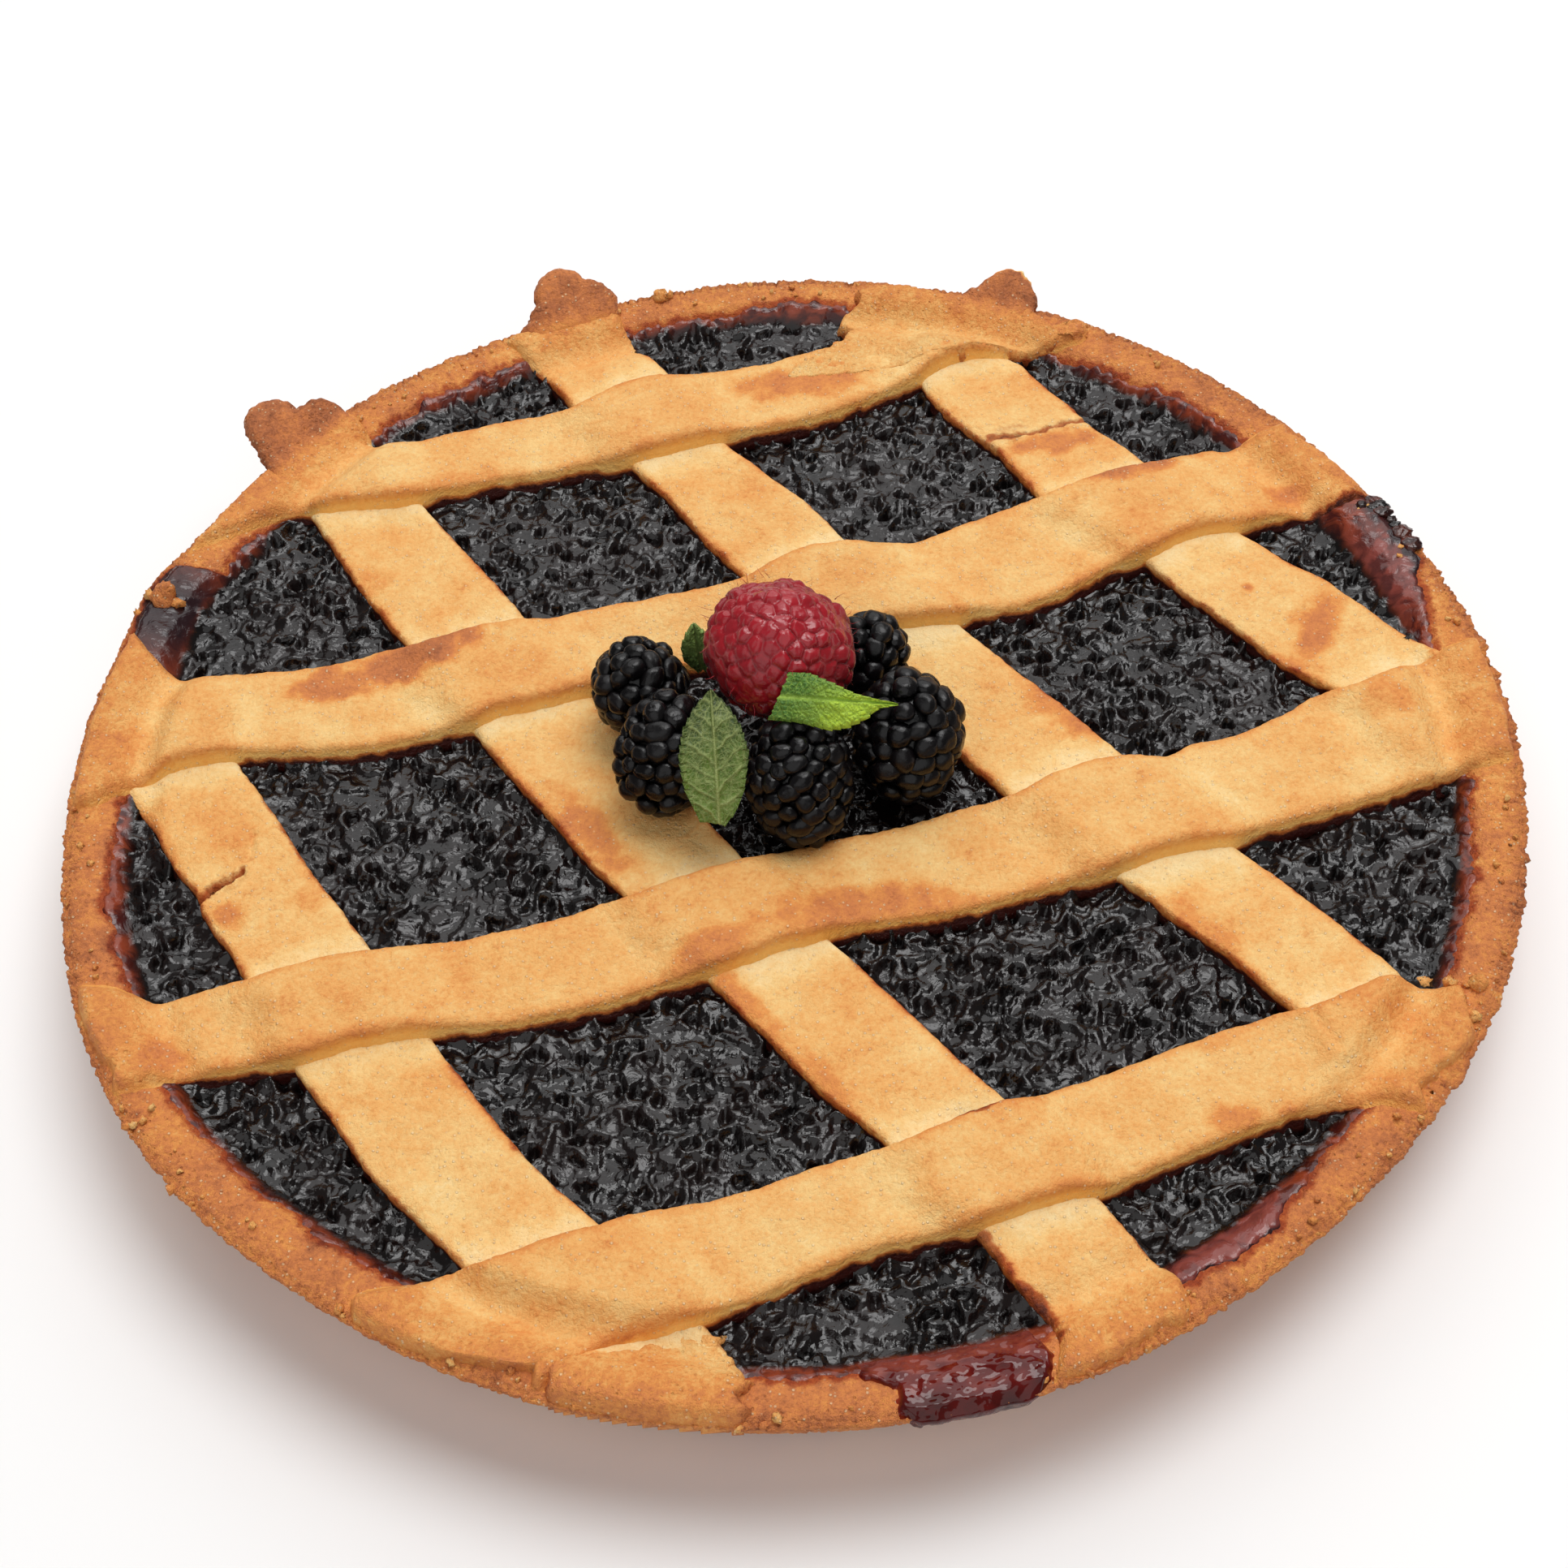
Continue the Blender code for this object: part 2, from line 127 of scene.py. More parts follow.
# ------------------------------------------------------------------ lattice layout
# Both edges of each strip, set out in the plane at PLAN_Z. Under strips: left and right edge, back to front.
UNDER = {
    1: ([(-113.2, 8), (-112.7, -1.5), (-107.6, -10.0), (-102.7, -18.8), (-98.4, -24.9), (-97.3, -28), (-91.9, -36.5), (-86, -47),
         (-78.5, -60.8), (-72.5, -69.4), (-66.4, -78.9), (-58.2, -88), (-50, -97), (-38, -110), (-36, -117), (-36, -128)],
        [(-98, 10), (-93.2, 1.5), (-86.7, -8.8), (-80.2, -20.1), (-73.8, -29.6), (-69, -36.8), (-62.5, -47),
         (-56.9, -56.9), (-49.5, -67.7), (-40.9, -79.4), (-31.3, -89.3), (-22, -99.5), (-14.5, -108.4), (-10.5, -115), (-12.5, -119), (-14, -128)]),
    2: ([(-97.5, 96), (-99.6, 92.5), (-100.7, 89), (-98.6, 81.5), (-95.8, 76), (-90, 68), (-84.6, 59.5), (-78.9, 48.7), (-72.9, 38.3),
         (-66.8, 29.2), (-60, 18), (-53, 6.7), (-46.1, -3.7), (-39.1, -13.2), (-34.8, -20.1), (-27, -29.4), (-19, -40), (-11.9, -49.1),
         (-5.4, -57.3), (3.3, -68.6), (11.4, -76.8), (18.5, -86), (25.7, -95.4), (31.3, -104.9), (35.3, -111.2), (34.5, -119), (34, -128)],
        [(-86.5, 96), (-83.3, 93), (-81.6, 91), (-79.8, 88.6), (-76.5, 82.6), (-70, 71), (-63.4, 60.8), (-56.4, 50.4), (-48.7, 39.1), (-42.5, 29),
         (-35, 17), (-27, 5), (-18, -8), (-10.6, -18.4), (-4, -27.5), (3, -36.5), (8.4, -42.9), (16.6, -53), (25.3, -64.2),
         (31.2, -71.3), (37.5, -80), (43.5, -88.9), (49.5, -98), (53, -102.3), (54.5, -107), (53.5, -113), (52.5, -128)]),
    3: ([(-43.2, 130), (-43.9, 125), (-44.6, 120.5), (-49, 113), (-50.2, 108.5), (-47.4, 103.2), (-41.7, 95.4), (-37.8, 88.9), (-31, 79),
         (-24.9, 69.4), (-18.4, 60.8), (-11.4, 49.1), (-5.4, 40.9), (2, 31.5), (11, 20), (20, 9), (27, 0.7), (33, -6.5), (37.8, -12.7),
         (45.5, -22), (53.2, -30.3), (58.2, -34.8), (62.5, -40), (68.6, -46), (75.5, -54.7), (80, -60), (86, -70)],
        [(-38, 130), (-33.9, 126), (-29.6, 122), (-28.4, 114.5), (-27, 109.2), (-24, 104.5), (-18.8, 96.4), (-13, 86), (-7.6, 75.3), (-0.2, 67), (4.6, 61.6),
         (13.4, 49.1), (22, 38), (32.2, 27), (40, 17.5), (47.8, 8), (57.3, -4.1), (65, -14), (73.3, -24.9), (81.5, -33.9),
         (86.7, -40), (91, -45.2), (98.4, -54.7), (104, -61), (112, -70)]),
    4: ([(46.5, 122), (43.5, 117), (41.2, 113), (34, 101), (30.7, 90.6), (31.8, 85.9), (34.8, 80.7), (38.3, 75.5), (42.6, 71), (46.9, 63.4), (51, 56),
         (58, 48), (68.1, 38.7), (73.3, 31.3), (78.1, 26.2), (85, 17.5), (89.3, 12.3), (95.4, 7.6), (101, 2), (108, -6)],
        [(53, 122), (54.3, 117), (55, 111), (51.5, 104), (48, 97.8), (50.8, 92.8), (54.7, 86.3), (59, 80.7), (62.5, 74.6), (66.8, 70.3), (70.3, 65.5), (78, 55),
         (85.9, 45.2), (89.3, 41.7), (94.5, 36.5), (98.8, 33.1), (103.2, 27.9), (108.4, 22.7), (114.9, 14.5), (119, 9), (124, -2)]),
}
# Over strips: front and back edge, left to right.
OVER = {
    1: ([(-122, 50), (-113, 53), (-106, 56), (-99, 59.5), (-92, 63.8), (-86, 66), (-80, 66.6), (-70, 67), (-60, 67.6), (-50, 69.4), (-40, 70.6), (-30, 73.3),
         (-20, 77), (-10, 79.3), (0, 79.6), (10, 82), (20, 86), (28, 90.8), (34, 96.2), (40, 99.0), (48, 99.0), (55, 98.0), (60, 98.7), (66, 101)],
        [(-122, 62), (-112, 66), (-104, 73), (-97, 78), (-90, 82), (-82, 84), (-76.5, 82.6), (-69, 80.8), (-60, 82.6), (-50, 85), (-40, 87), (-35, 90), (-30, 93.2),
         (-20, 96.1), (-12, 95.4), (-5, 96.3), (0, 97.1), (5, 98.6), (10, 100.2), (18, 102), (28, 105.2), (36, 107.6),
         (44, 107.2), (52, 105.2), (59, 103), (66, 101.6)]),
    2: ([(-128, -6), (-123.2, -5.3), (-118.3, -4), (-114.5, -0.9), (-108, 4.3), (-102.1, 6.3), (-98, 6.8), (-88.5, 5.8), (-80, 5.4), (-70, 5.8), (-58.2, 8.9), (-50, 13.2), (-40, 15.5),
         (-33, 17.6), (-22, 19.5), (-10, 22), (5, 26), (14, 28.5), (24, 29.6), (35.7, 29.9), (43, 30.2), (50, 32.4), (60, 38), (69.5, 43.5), (78, 47.8), (88, 48.9),
         (97, 49.6), (103.3, 50.0), (111.0, 52.0), (118, 52), (124, 51)],
        [(-128, 38), (-119.6, 34.6), (-116, 33.8), (-113.6, 30.5), (-107.5, 24.6), (-100, 23.8), (-90, 23.9), (-80, 24.6), (-70, 27.5), (-60, 30.9), (-50, 33.5),
         (-40, 33.7), (-30, 35.7), (-20, 37.4), (-10, 39.4), (-5, 41.2), (0, 45), (5, 47.6), (12, 48.9), (20, 47.9), (25, 47.2), (34.8, 51), (44.8, 54.7),
         (54.7, 59.5), (64.9, 63.8), (76.3, 65.7), (85.9, 67.3), (94, 70), (102, 74), (112, 80)]),
    3: ([(-118, -66), (-110, -63), (-104, -61.2), (-97, -59.4), (-90, -58.6), (-80, -56.4), (-70, -53.4), (-60, -52.3), (-50, -52.8), (-40, -51.7), (-30, -49.7),
         (-20, -46.3), (-10, -42.2), (0, -38.7), (10, -37.1), (20, -36.4), (30, -35), (40, -32.4), (50, -29.7), (59, -25.7), (68, -23.3),
         (77, -22.6), (88, -19.8), (98, -17.2), (108, -14), (119, -10.8), (128, -10)],
        [(-118, -42), (-107, -43.3), (-101.4, -44.8), (-95, -43.4), (-85, -40.2), (-74.6, -37.4), (-65, -36.7), (-55, -36.4), (-45, -34.5), (-35, -32.2),
         (-26.2, -28.7), (-17.5, -25.3), (-8.8, -22.5), (0, -21.7), (10, -19.7), (20, -17.7), (30, -14.7), (37, -12.8), (41, -10.6), (45, -8.4),
         (50, -6.2), (55, -5), (60, -4.8), (65, -5.6), (70, -3.6), (77, -2.4), (85, 1.1), (93, 5.8), (101.4, 8.8), (110, 12.3), (118, 14.6), (128, 17)]),
    4: ([(-68, -122), (-56, -119), (-46, -117.5), (-40, -115.6), (-36, -112), (-30, -108), (-20, -105.3), (-10, -103.2), (0, -99.3), (10, -95.8), (20, -93.7), (30, -90.2), (40, -87.3),
         (46, -87), (55, -84), (65, -80), (75, -76.8), (82, -75.2), (88, -74.8), (95, -77), (106, -80)],
        [(-68, -100), (-60, -97.6), (-54.7, -95.8), (-46.9, -93.7), (-38, -90.6), (-28, -88.2), (-17.5, -86.7), (-10, -85.4), (0, -82.2), (10, -79.4), (18, -76.4), (25, -73.3),
         (31, -71.4), (37, -71), (45, -68.7), (55, -65.2), (65, -61.8), (75, -58.8), (83, -56.6), (90, -53.8), (95.5, -52.2), (99, -53.5), (112, -57)]),
}
# Cracks and creases: strip, line, depth, width, jam that has seeped in.
CRACKS = [
    ("under", 1, [(-100.5, -26.6), (-98.2, -25.8), (-96.6, -24.6), (-95.2, -23.0), (-93.2, -22.0), (-91.6, -20.2)], 1.7, 0.46, 0.62),
    ("under", 1, [(-92.8, -20.6), (-90.6, -17.5), (-90.2, -12.5)], 0.45, 0.6, 0.12),
    ("under", 4, [(42.6, 73.0), (47.2, 73.2), (51.2, 74.0), (55.2, 75.3), (58.1, 76.4), (61.5, 76.8), (66, 77.6)], 0.55, 0.40, 0.66),
    ("over", 2, [(-127, -6.5), (-122, -5.2), (-117, -4.6), (-114, -1.8)], 0.7, 0.5, 0.1),
    ("over", 3, [(110, -14), (116, -11.5), (121, -12.5), (125, -13)], 0.8, 0.5, 0.3),
    ("over", 4, [(-42, -117), (-36, -113), (-31, -109.5), (-25, -106.2)], 0.5, 0.5, 0.1),
    ("over", 4, [(80, -57.5), (82, -62), (84.5, -66.5)], 0.35, 0.6, 0.0),
    ]


def to_level(points, z):
    """Points seen in the plane at PLAN_Z, moved along the lines of sight to height z."""
    p = np.asarray(points, float)
    k = ((EYE[2] - np.asarray(z, float)) / (EYE[2] - PLAN_Z))[..., None]
    return EYE[:2] + (p - EYE[:2]) * k


def curve(points, along, values):
    """A smooth curve through points, sampled where coordinate `along` takes these values."""
    p = np.array(points, float)
    p = p[np.argsort(p[:, along])]
    key, other = p[:, along], p[:, 1 - along]
    slope = np.empty_like(other)
    d = np.diff(other) / np.diff(key)
    slope[0], slope[-1] = d[0], d[-1]
    w = np.diff(key)
    slope[1:-1] = (d[:-1] * w[1:] + d[1:] * w[:-1]) / (w[1:] + w[:-1])
    slope[1:-1] = np.where(d[:-1] * d[1:] <= 0, 0.35 * slope[1:-1], slope[1:-1])
    v = np.clip(values, key[0], key[-1])
    i = np.clip(np.searchsorted(key, v) - 1, 0, len(key) - 2)
    h = key[i + 1] - key[i]
    t = (v - key[i]) / h
    return ((2 * t**3 - 3 * t**2 + 1) * other[i] + (t**3 - 2 * t**2 + t) * h * slope[i]
            + (3 * t**2 - 2 * t**3) * other[i + 1] + (t**3 - t**2) * h * slope[i + 1])


class Strip:
    """One strip's edges in true plan, as functions of the distance along it (x for over strips, y for under strips)."""

    def __init__(self, number, over):
        self.number, self.over = number, over
        self.along = 0 if over else 1
        a, b = (OVER if over else UNDER)[number]
        low = max(min(p[self.along] for p in a), min(p[self.along] for p in b))
        high = min(max(p[self.along] for p in a), max(p[self.along] for p in b))
        self.key = np.arange(low, high + 0.01, 0.4)
        self.edges = []
        for points in (a, b):
            other = curve(points, self.along, self.key)
            seen = np.stack([self.key, other] if over else [other, self.key], -1)
            z = np.full(len(seen), UNDER_Z - 0.4)
            if not over:  # tabs at the back stand higher than the rim
                z = z + 4.5 * step(112, 130, np.hypot(*seen.T)) * (self.key > 60)
            if over:
                for _ in range(3):
                    z = OVER_Z - 0.5 + hump(*to_level(seen, z).T)
            self.edges.append(to_level(seen, z))

    def point(self, u, t):
        """Plan point at key u, place t from -1 at the first edge to 1 at the second."""
        w = (t + 1) / 2
        out = []
        for axis in (0, 1):
            a = np.interp(u, self.key, self.edges[0][:, axis])
            b = np.interp(u, self.key, self.edges[1][:, axis])
            out.append(mix(a, b, w))
        return out

    def across(self, x, y):
        """Place across the strip of plan points, from -1 to 1 inside it, and how wide it is there."""
        u = x if self.over else y
        other = y if self.over else x
        sides = [np.interp(u, e[:, self.along], e[:, 1 - self.along]) for e in self.ordered()]
        half = 0.5 * (sides[1] - sides[0])
        t = (other - 0.5 * (sides[0] + sides[1])) / half
        low, high = self.span()
        outside = np.maximum(np.maximum(low - u, u - high), 0)
        return np.where(outside > 0, np.where(t < 0, -1.0, 1.0) * np.hypot(t, outside / 10.0), t), half

    def ordered(self):
        return [e[np.argsort(e[:, self.along])] for e in self.edges]

    def span(self):
        e = self.edges[0][:, self.along]
        return e.min(), e.max()


def hump(x, y):
    """How far the over strips are lifted where they cross an under strip."""
    lift = np.zeros(np.shape(x))
    wander = 0.16 * noise(x / 7, y / 7, 95)
    for s in STRIPS_UNDER:
        t, half = s.across(x, y)
        lift = np.maximum(lift, step(1.72, 0.74, np.abs(t) + wander))
    r = np.hypot(x, y)
    return HUMP * lift * (1 - 0.85 * step(106, 118, r))


STRIPS_UNDER = []
for n in UNDER:
    STRIPS_UNDER.append(Strip(n, False))
STRIPS_OVER = [Strip(n, True) for n in OVER]
# Torn and folded pieces at the strips' ends: outline, as seen in the plane at PLAN_Z.
PADS = {
    "over_1_torn": [(4, 94), (6, 98), (10, 100.5), (13, 102.5), (14.2, 104.6), (16, 105), (18, 108), (15.5, 110.4), (16.5, 113), (20, 115), (19.6, 117.6),
                    (24, 118.8), (28, 118.5), (32, 117.4), (36, 115.5), (42, 113.2), (48, 111.6), (53, 109.6), (57, 105.4), (60, 102.4), (58, 100.2), (52, 99.2), (44, 98.6), (36, 97), (28, 95), (18, 94)],
    "under_1_end": [(-39, -112), (-36, -109.5), (-30, -108.8), (-22, -106.5), (-13, -106.5), (-13.8, -108.8), (-11.2, -111), (-12.4, -113), (-9.2, -115.2), (-11.4, -117.4), (-9.8, -119.6),
                    (-12.6, -123.5), (-22, -124.5), (-32, -123.5), (-38, -121)],
    "under_2_tab": [(-94.5, 73), (-97, 79), (-100, 84.5), (-101.6, 90), (-99.5, 94.2), (-96, 95), (-93, 94.2), (-91.6, 92.4), (-90, 94.0), (-87, 95.4), (-84, 94), (-81, 91), (-78.5, 87.6), (-75.5, 82),
                    (-78, 76), (-84, 70.5), (-90, 69.5)],
    "under_3_tab": [(-48.5, 111), (-46.5, 116), (-45.2, 120), (-45.6, 124.5), (-43.4, 128), (-40.2, 129.6), (-37.4, 128.6), (-35.6, 126.2), (-31.5, 125.2), (-28.8, 121.6), (-28.2, 116),
                    (-30, 112.6), (-36, 110.6), (-43, 108.6)],
    "under_4_tab": [(38.2, 110.5), (40.4, 115.4), (42.4, 118.4), (45.2, 119.4), (47.6, 121.0), (50.6, 122.2), (53.8, 121.0), (55.4, 117.4), (55.9, 112.5), (54.2, 107), (48, 104.8), (42, 105.6)],
}


# ------------------------------------------------------------------ shell shape

def rim_radius(theta):
    return (RIM_R + 0.7 * np.cos(theta - 0.4) + 0.9 * np.cos(2 * theta - 0.5)
            + 0.6 * np.cos(3 * theta + 1.0) + 0.45 * np.cos(5 * theta + 0.6) + 0.3 * np.sin(9 * theta)
            + 1.8 * bump_at(theta, 157, 5))


def rim_height(theta):
    return RIM_Z + 0.35 * np.sin(2 * theta + 0.8) + 0.25 * np.sin(5 * theta) + 0.15 * np.sin(11 * theta + 1.0)


def rim_width(theta):
    return (RIM_W + 0.8 * noise(3.1 * np.cos(theta) + 5, 3.1 * np.sin(theta) + 5, 3) + 0.5 * noise(9 * np.cos(theta), 9 * np.sin(theta), 4)
            - 1.3 * np.exp(-(((theta - 1.55) / 0.45) ** 2)))


def shell_top(x, y):
    """Upper surface of the shell's rim and of its inner slope."""
    theta = np.arctan2(y, x)
    inward = rim_radius(theta) - np.hypot(x, y)
    t = inward - rim_width(theta)
    fall = 0.68 * (t + np.sqrt(t * t + 5.8))
    lumps = 0.30 * fbm(x / 6.5, y / 6.5, 41, 3)
    return rim_height(theta) + 0.25 - fall + lumps - 1.3 * step(1.9, -0.2, inward)


def strip_level(s, x, y):
    """Height of the flat top of a strip, how far it lies on the rim, and the rim's surface under it."""
    theta = np.arctan2(y, x)
    inward = rim_radius(theta) - np.hypot(x, y)
    ripple = 0.30 * noise(x / 19, y / 19, 101 + s.number) + 0.22 * noise(x / 7, y / 7, 105)
    level = OVER_Z + hump(x, y) + ripple if s.over else UNDER_Z + ripple
    shell = shell_top(x, y)
    on_rim = step(17.0, 6.5, inward)
    lift = (2.1 if s.over else 1.7) * step(-0.1, 2.6, inward)
    return level, shell, lift, on_rim, inward


def strip_top(s, x, y):
    level, shell, lift, on_rim, _ = strip_level(s, x, y)
    return mix(level, shell + lift, on_rim)


def bump_at(theta, centre, width):
    d = (theta - math.radians(centre) + math.pi) % PI2 - math.pi
    return np.exp(-((d / math.radians(width)) ** 2))


def crackle(x, y):
    """Fine broken cracks in the dough where it is thick: 1 in a crack, 0 elsewhere."""
    a = np.clip(1 - np.abs(noise(x / 4.6 + 2, y / 4.6, 311)) * 8.0, 0, 1)
    return a * step(0.05, 0.45, noise(x / 7, y / 7, 312))


def syrup_reach(theta):
    """How far out from the inner edge of the rim the thin syrup climbs, in mm."""
    c, s = np.cos(theta), np.sin(theta)
    reach = -0.15 + 0.9 * noise(c * 9, s * 9, 91) + 0.9 * noise(c * 31, s * 31, 92) + 0.5 * noise(c * 80, s * 80, 93)
    deg = np.degrees(theta)
    reach = reach + 8.4 * np.clip((deg - 8.2) / 11.8, 0, 1) * step(30, 27, deg) + 4.0 * bump_at(theta, -57, 7.0)
    reach = reach + 1.4 * bump_at(theta, -168, 7) + 8.6 * step(152.8, 155.2, deg) * step(167.0, 164.6, deg) + 1.9 * bump_at(theta, 86, 5)
    reach = reach + 1.8 * bump_at(theta, 119, 6) + 1.3 * bump_at(theta, 46, 5) + 1.0 * bump_at(theta, -88, 9) + 0.6 * bump_at(theta, -12, 6)
    return reach


def rim_bake(x, y, w):
    """How brown the rim is: w goes from 0 at its outer edge to 1 at its inner edge."""
    theta = np.arctan2(y, x)
    base = 0.615 - 0.01 * step(0.25, 1.0, w) + 0.02 * np.cos(theta - 0.2) + 0.02 * bump_at(theta, -95, 50) + 0.10 * bump_at(theta, -178, 24) * step(0.5, 1.0, w)
    golden = 0.09 * bump_at(theta, 4, 26) * step(0.1, 0.5, w) + 0.05 * bump_at(theta, 95, 30)
    return base - golden + 0.13 * fbm(x / 11, y / 11, 51, 3) + 0.11 * fbm(x / 2.4, y / 2.4, 52, 3)


# ------------------------------------------------------------------ mesh and material helpers

def mesh(name, points, faces, surface, paint=None, smooth=True, node=None):
    data = bpy.data.meshes.new(name)
    points = np.asarray(points, float) * MM
    data.vertices.add(len(points))
    data.vertices.foreach_set("co", points.ravel())
    quads = [np.asarray(f, np.int32) for f in (faces if isinstance(faces, (list, tuple)) else [faces])]
    total = sum(len(q) for q in quads)
    loops = np.concatenate([q.ravel() for q in quads])
    sizes = np.concatenate([np.full(len(q), q.shape[1], np.int32) for q in quads])
    data.loops.add(len(loops))
    data.loops.foreach_set("vertex_index", loops)
    data.polygons.add(total)
    data.polygons.foreach_set("loop_start", np.concatenate([[0], np.cumsum(sizes)[:-1]]).astype(np.int32))
    data.polygons.foreach_set("loop_total", sizes)
    data.polygons.foreach_set("use_smooth", np.full(total, smooth))
    data.update(calc_edges=True)
    data.validate()
    if paint is not None:
        layer = data.color_attributes.new("paint", "FLOAT_COLOR", "POINT")
        values = np.ones((len(points), 4), np.float32)
        paint = np.asarray(paint, np.float32)
        values[:, : paint.shape[1]] = paint
        layer.data.foreach_set("color", np.clip(values, 0, 1).ravel())
    data.materials.append(surface)
    obj = bpy.data.objects.new(name, data)
    bpy.context.scene.collection.objects.link(obj)
    if node:
        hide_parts(node)
    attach(obj, "root")
    print(name, int((sizes - 2).sum()), "triangles")
    return obj


def grid_faces(rows, columns, wrap_rows=False, wrap_columns=False):
    i = np.arange(rows if wrap_rows else rows - 1)
    j = np.arange(columns if wrap_columns else columns - 1)
    i, j = np.meshgrid(i, j, indexing="ij")
    i2, j2 = (i + 1) % rows, (j + 1) % columns
    return np.stack([i * columns + j, i * columns + j2, i2 * columns + j2, i2 * columns + j], -1).reshape(-1, 4)


class Nodes:
    """Short names for building a node material."""

    def __init__(self, name, roughness=0.5, **fixed):
        self.material = bpy.data.materials.new(name)
        self.material.use_nodes = True
        self.tree = self.material.node_tree
        self.shader = self.tree.nodes["Principled BSDF"]
        self.shader.inputs["Roughness"].default_value = roughness
        for key, value in fixed.items():
            self.shader.inputs[key.replace("_", " ")].default_value = value

    def link(self, a, b):
        self.tree.links.new(a, b)

    def put(self, socket, value):
        if hasattr(value, "links"):
            self.link(value, socket)
        elif isinstance(value, (tuple, list)) and len(value) == 3 and socket.type == "RGBA":
            socket.default_value = (*value, 1)
        else:
            socket.default_value = value

    def node(self, kind):
        return self.tree.nodes.new(kind)

    def paint(self):
        n = self.node("ShaderNodeAttribute")
        n.attribute_name = "paint"
        s = self.node("ShaderNodeSeparateColor")
        self.link(n.outputs["Color"], s.inputs[0])
        return s.outputs[0], s.outputs[1], s.outputs[2], n.outputs["Alpha"]

    def where(self):
        return self.node("ShaderNodeTexCoord").outputs["Object"]

    def noise(self, scale, detail=3.0, rough=0.55, where=None, distortion=0.0):
        n = self.node("ShaderNodeTexNoise")
        n.inputs["Scale"].default_value = scale
        n.inputs["Detail"].default_value = detail
        n.inputs["Roughness"].default_value = rough
        n.inputs["Distortion"].default_value = distortion
        self.link(where or self.where(), n.inputs["Vector"])
        return n.outputs["Fac"]

    def voronoi(self, scale, feature="F1", where=None, output="Distance", randomness=1.0):
        n = self.node("ShaderNodeTexVoronoi")
        n.feature = feature
        n.inputs["Scale"].default_value = scale
        n.inputs["Randomness"].default_value = randomness
        self.link(where or self.where(), n.inputs["Vector"])
        return n.outputs[output]

    def ramp(self, value, low, high, start=0.0, end=1.0, smooth=True):
        n = self.node("ShaderNodeMapRange")
        n.interpolation_type = "SMOOTHSTEP" if smooth else "LINEAR"
        self.put(n.inputs["Value"], value)
        n.inputs["From Min"].default_value = low
        n.inputs["From Max"].default_value = high
        n.inputs["To Min"].default_value = start
        n.inputs["To Max"].default_value = end
        return n.outputs["Result"]

    def colours(self, value, stops):
        n = self.node("ShaderNodeValToRGB")
        ramp = n.color_ramp
        while len(ramp.elements) < len(stops):
            ramp.elements.new(0.5)
        for element, (place, colour) in zip(ramp.elements, stops):
            element.position = place
            element.color = (*colour, 1)
        self.link(value, n.inputs[0])
        return n.outputs[0]

    def math(self, operation, a, b=0.0, clamp=False):
        n = self.node("ShaderNodeMath")
        n.operation = operation
        n.use_clamp = clamp
        self.put(n.inputs[0], a)
        self.put(n.inputs[1], b)
        return n.outputs[0]

    def add(self, *values):
        total = values[0]
        for v in values[1:]:
            total = self.math("ADD", total, v)
        return total

    def times(self, a, b):
        return self.math("MULTIPLY", a, b)

    def centred(self, a, size):
        return self.times(self.math("SUBTRACT", a, 0.5), size)

    def blend(self, factor, a, b, mode="MIX"):
        n = self.node("ShaderNodeMix")
        n.data_type = "RGBA"
        n.blend_type = mode
        self.put(n.inputs["Factor"], factor)
        self.put(n.inputs[6], a)
        self.put(n.inputs[7], b)
        return n.outputs[2]

    def bump(self, height, strength, distance, normal=None):
        n = self.node("ShaderNodeBump")
        n.inputs["Strength"].default_value = strength
        n.inputs["Distance"].default_value = distance
        self.link(height, n.inputs["Height"])
        if normal is not None:
            self.link(normal, n.inputs["Normal"])
        return n.outputs["Normal"]

    def finish(self, colour, roughness=None, normal=None):
        self.put(self.shader.inputs["Base Color"], colour)
        if roughness is not None:
            self.put(self.shader.inputs["Roughness"], roughness)
        if normal is not None:
            self.link(normal, self.shader.inputs["Normal"])
        return self.material


def srgb(r, g, b):
    return tuple(((c / 255) / 12.92 if c / 255 <= 0.04045 else ((c / 255 + 0.055) / 1.055) ** 2.4) for c in (r, g, b))


# ------------------------------------------------------------------ materials

BAKE = [
    (0.00, srgb(247, 219, 162)),
    (0.20, srgb(242, 198, 128)),
    (0.36, srgb(236, 173, 99)),
    (0.50, srgb(226, 146, 74)),
    (0.64, srgb(208, 126, 70)),
    (0.80, srgb(174, 102, 61)),
    (1.00, srgb(104, 54, 30)),
]
# Cut-side colours: dense amber, set light as painted light for sides that stand in shade
SIDE_AMBER_AND_PAINTED_LIGHT = [(0.0, srgb(255, 208, 122)), (0.35, srgb(255, 184, 88)), (0.75, srgb(222, 138, 58)), (1.0, srgb(134, 72, 36))]


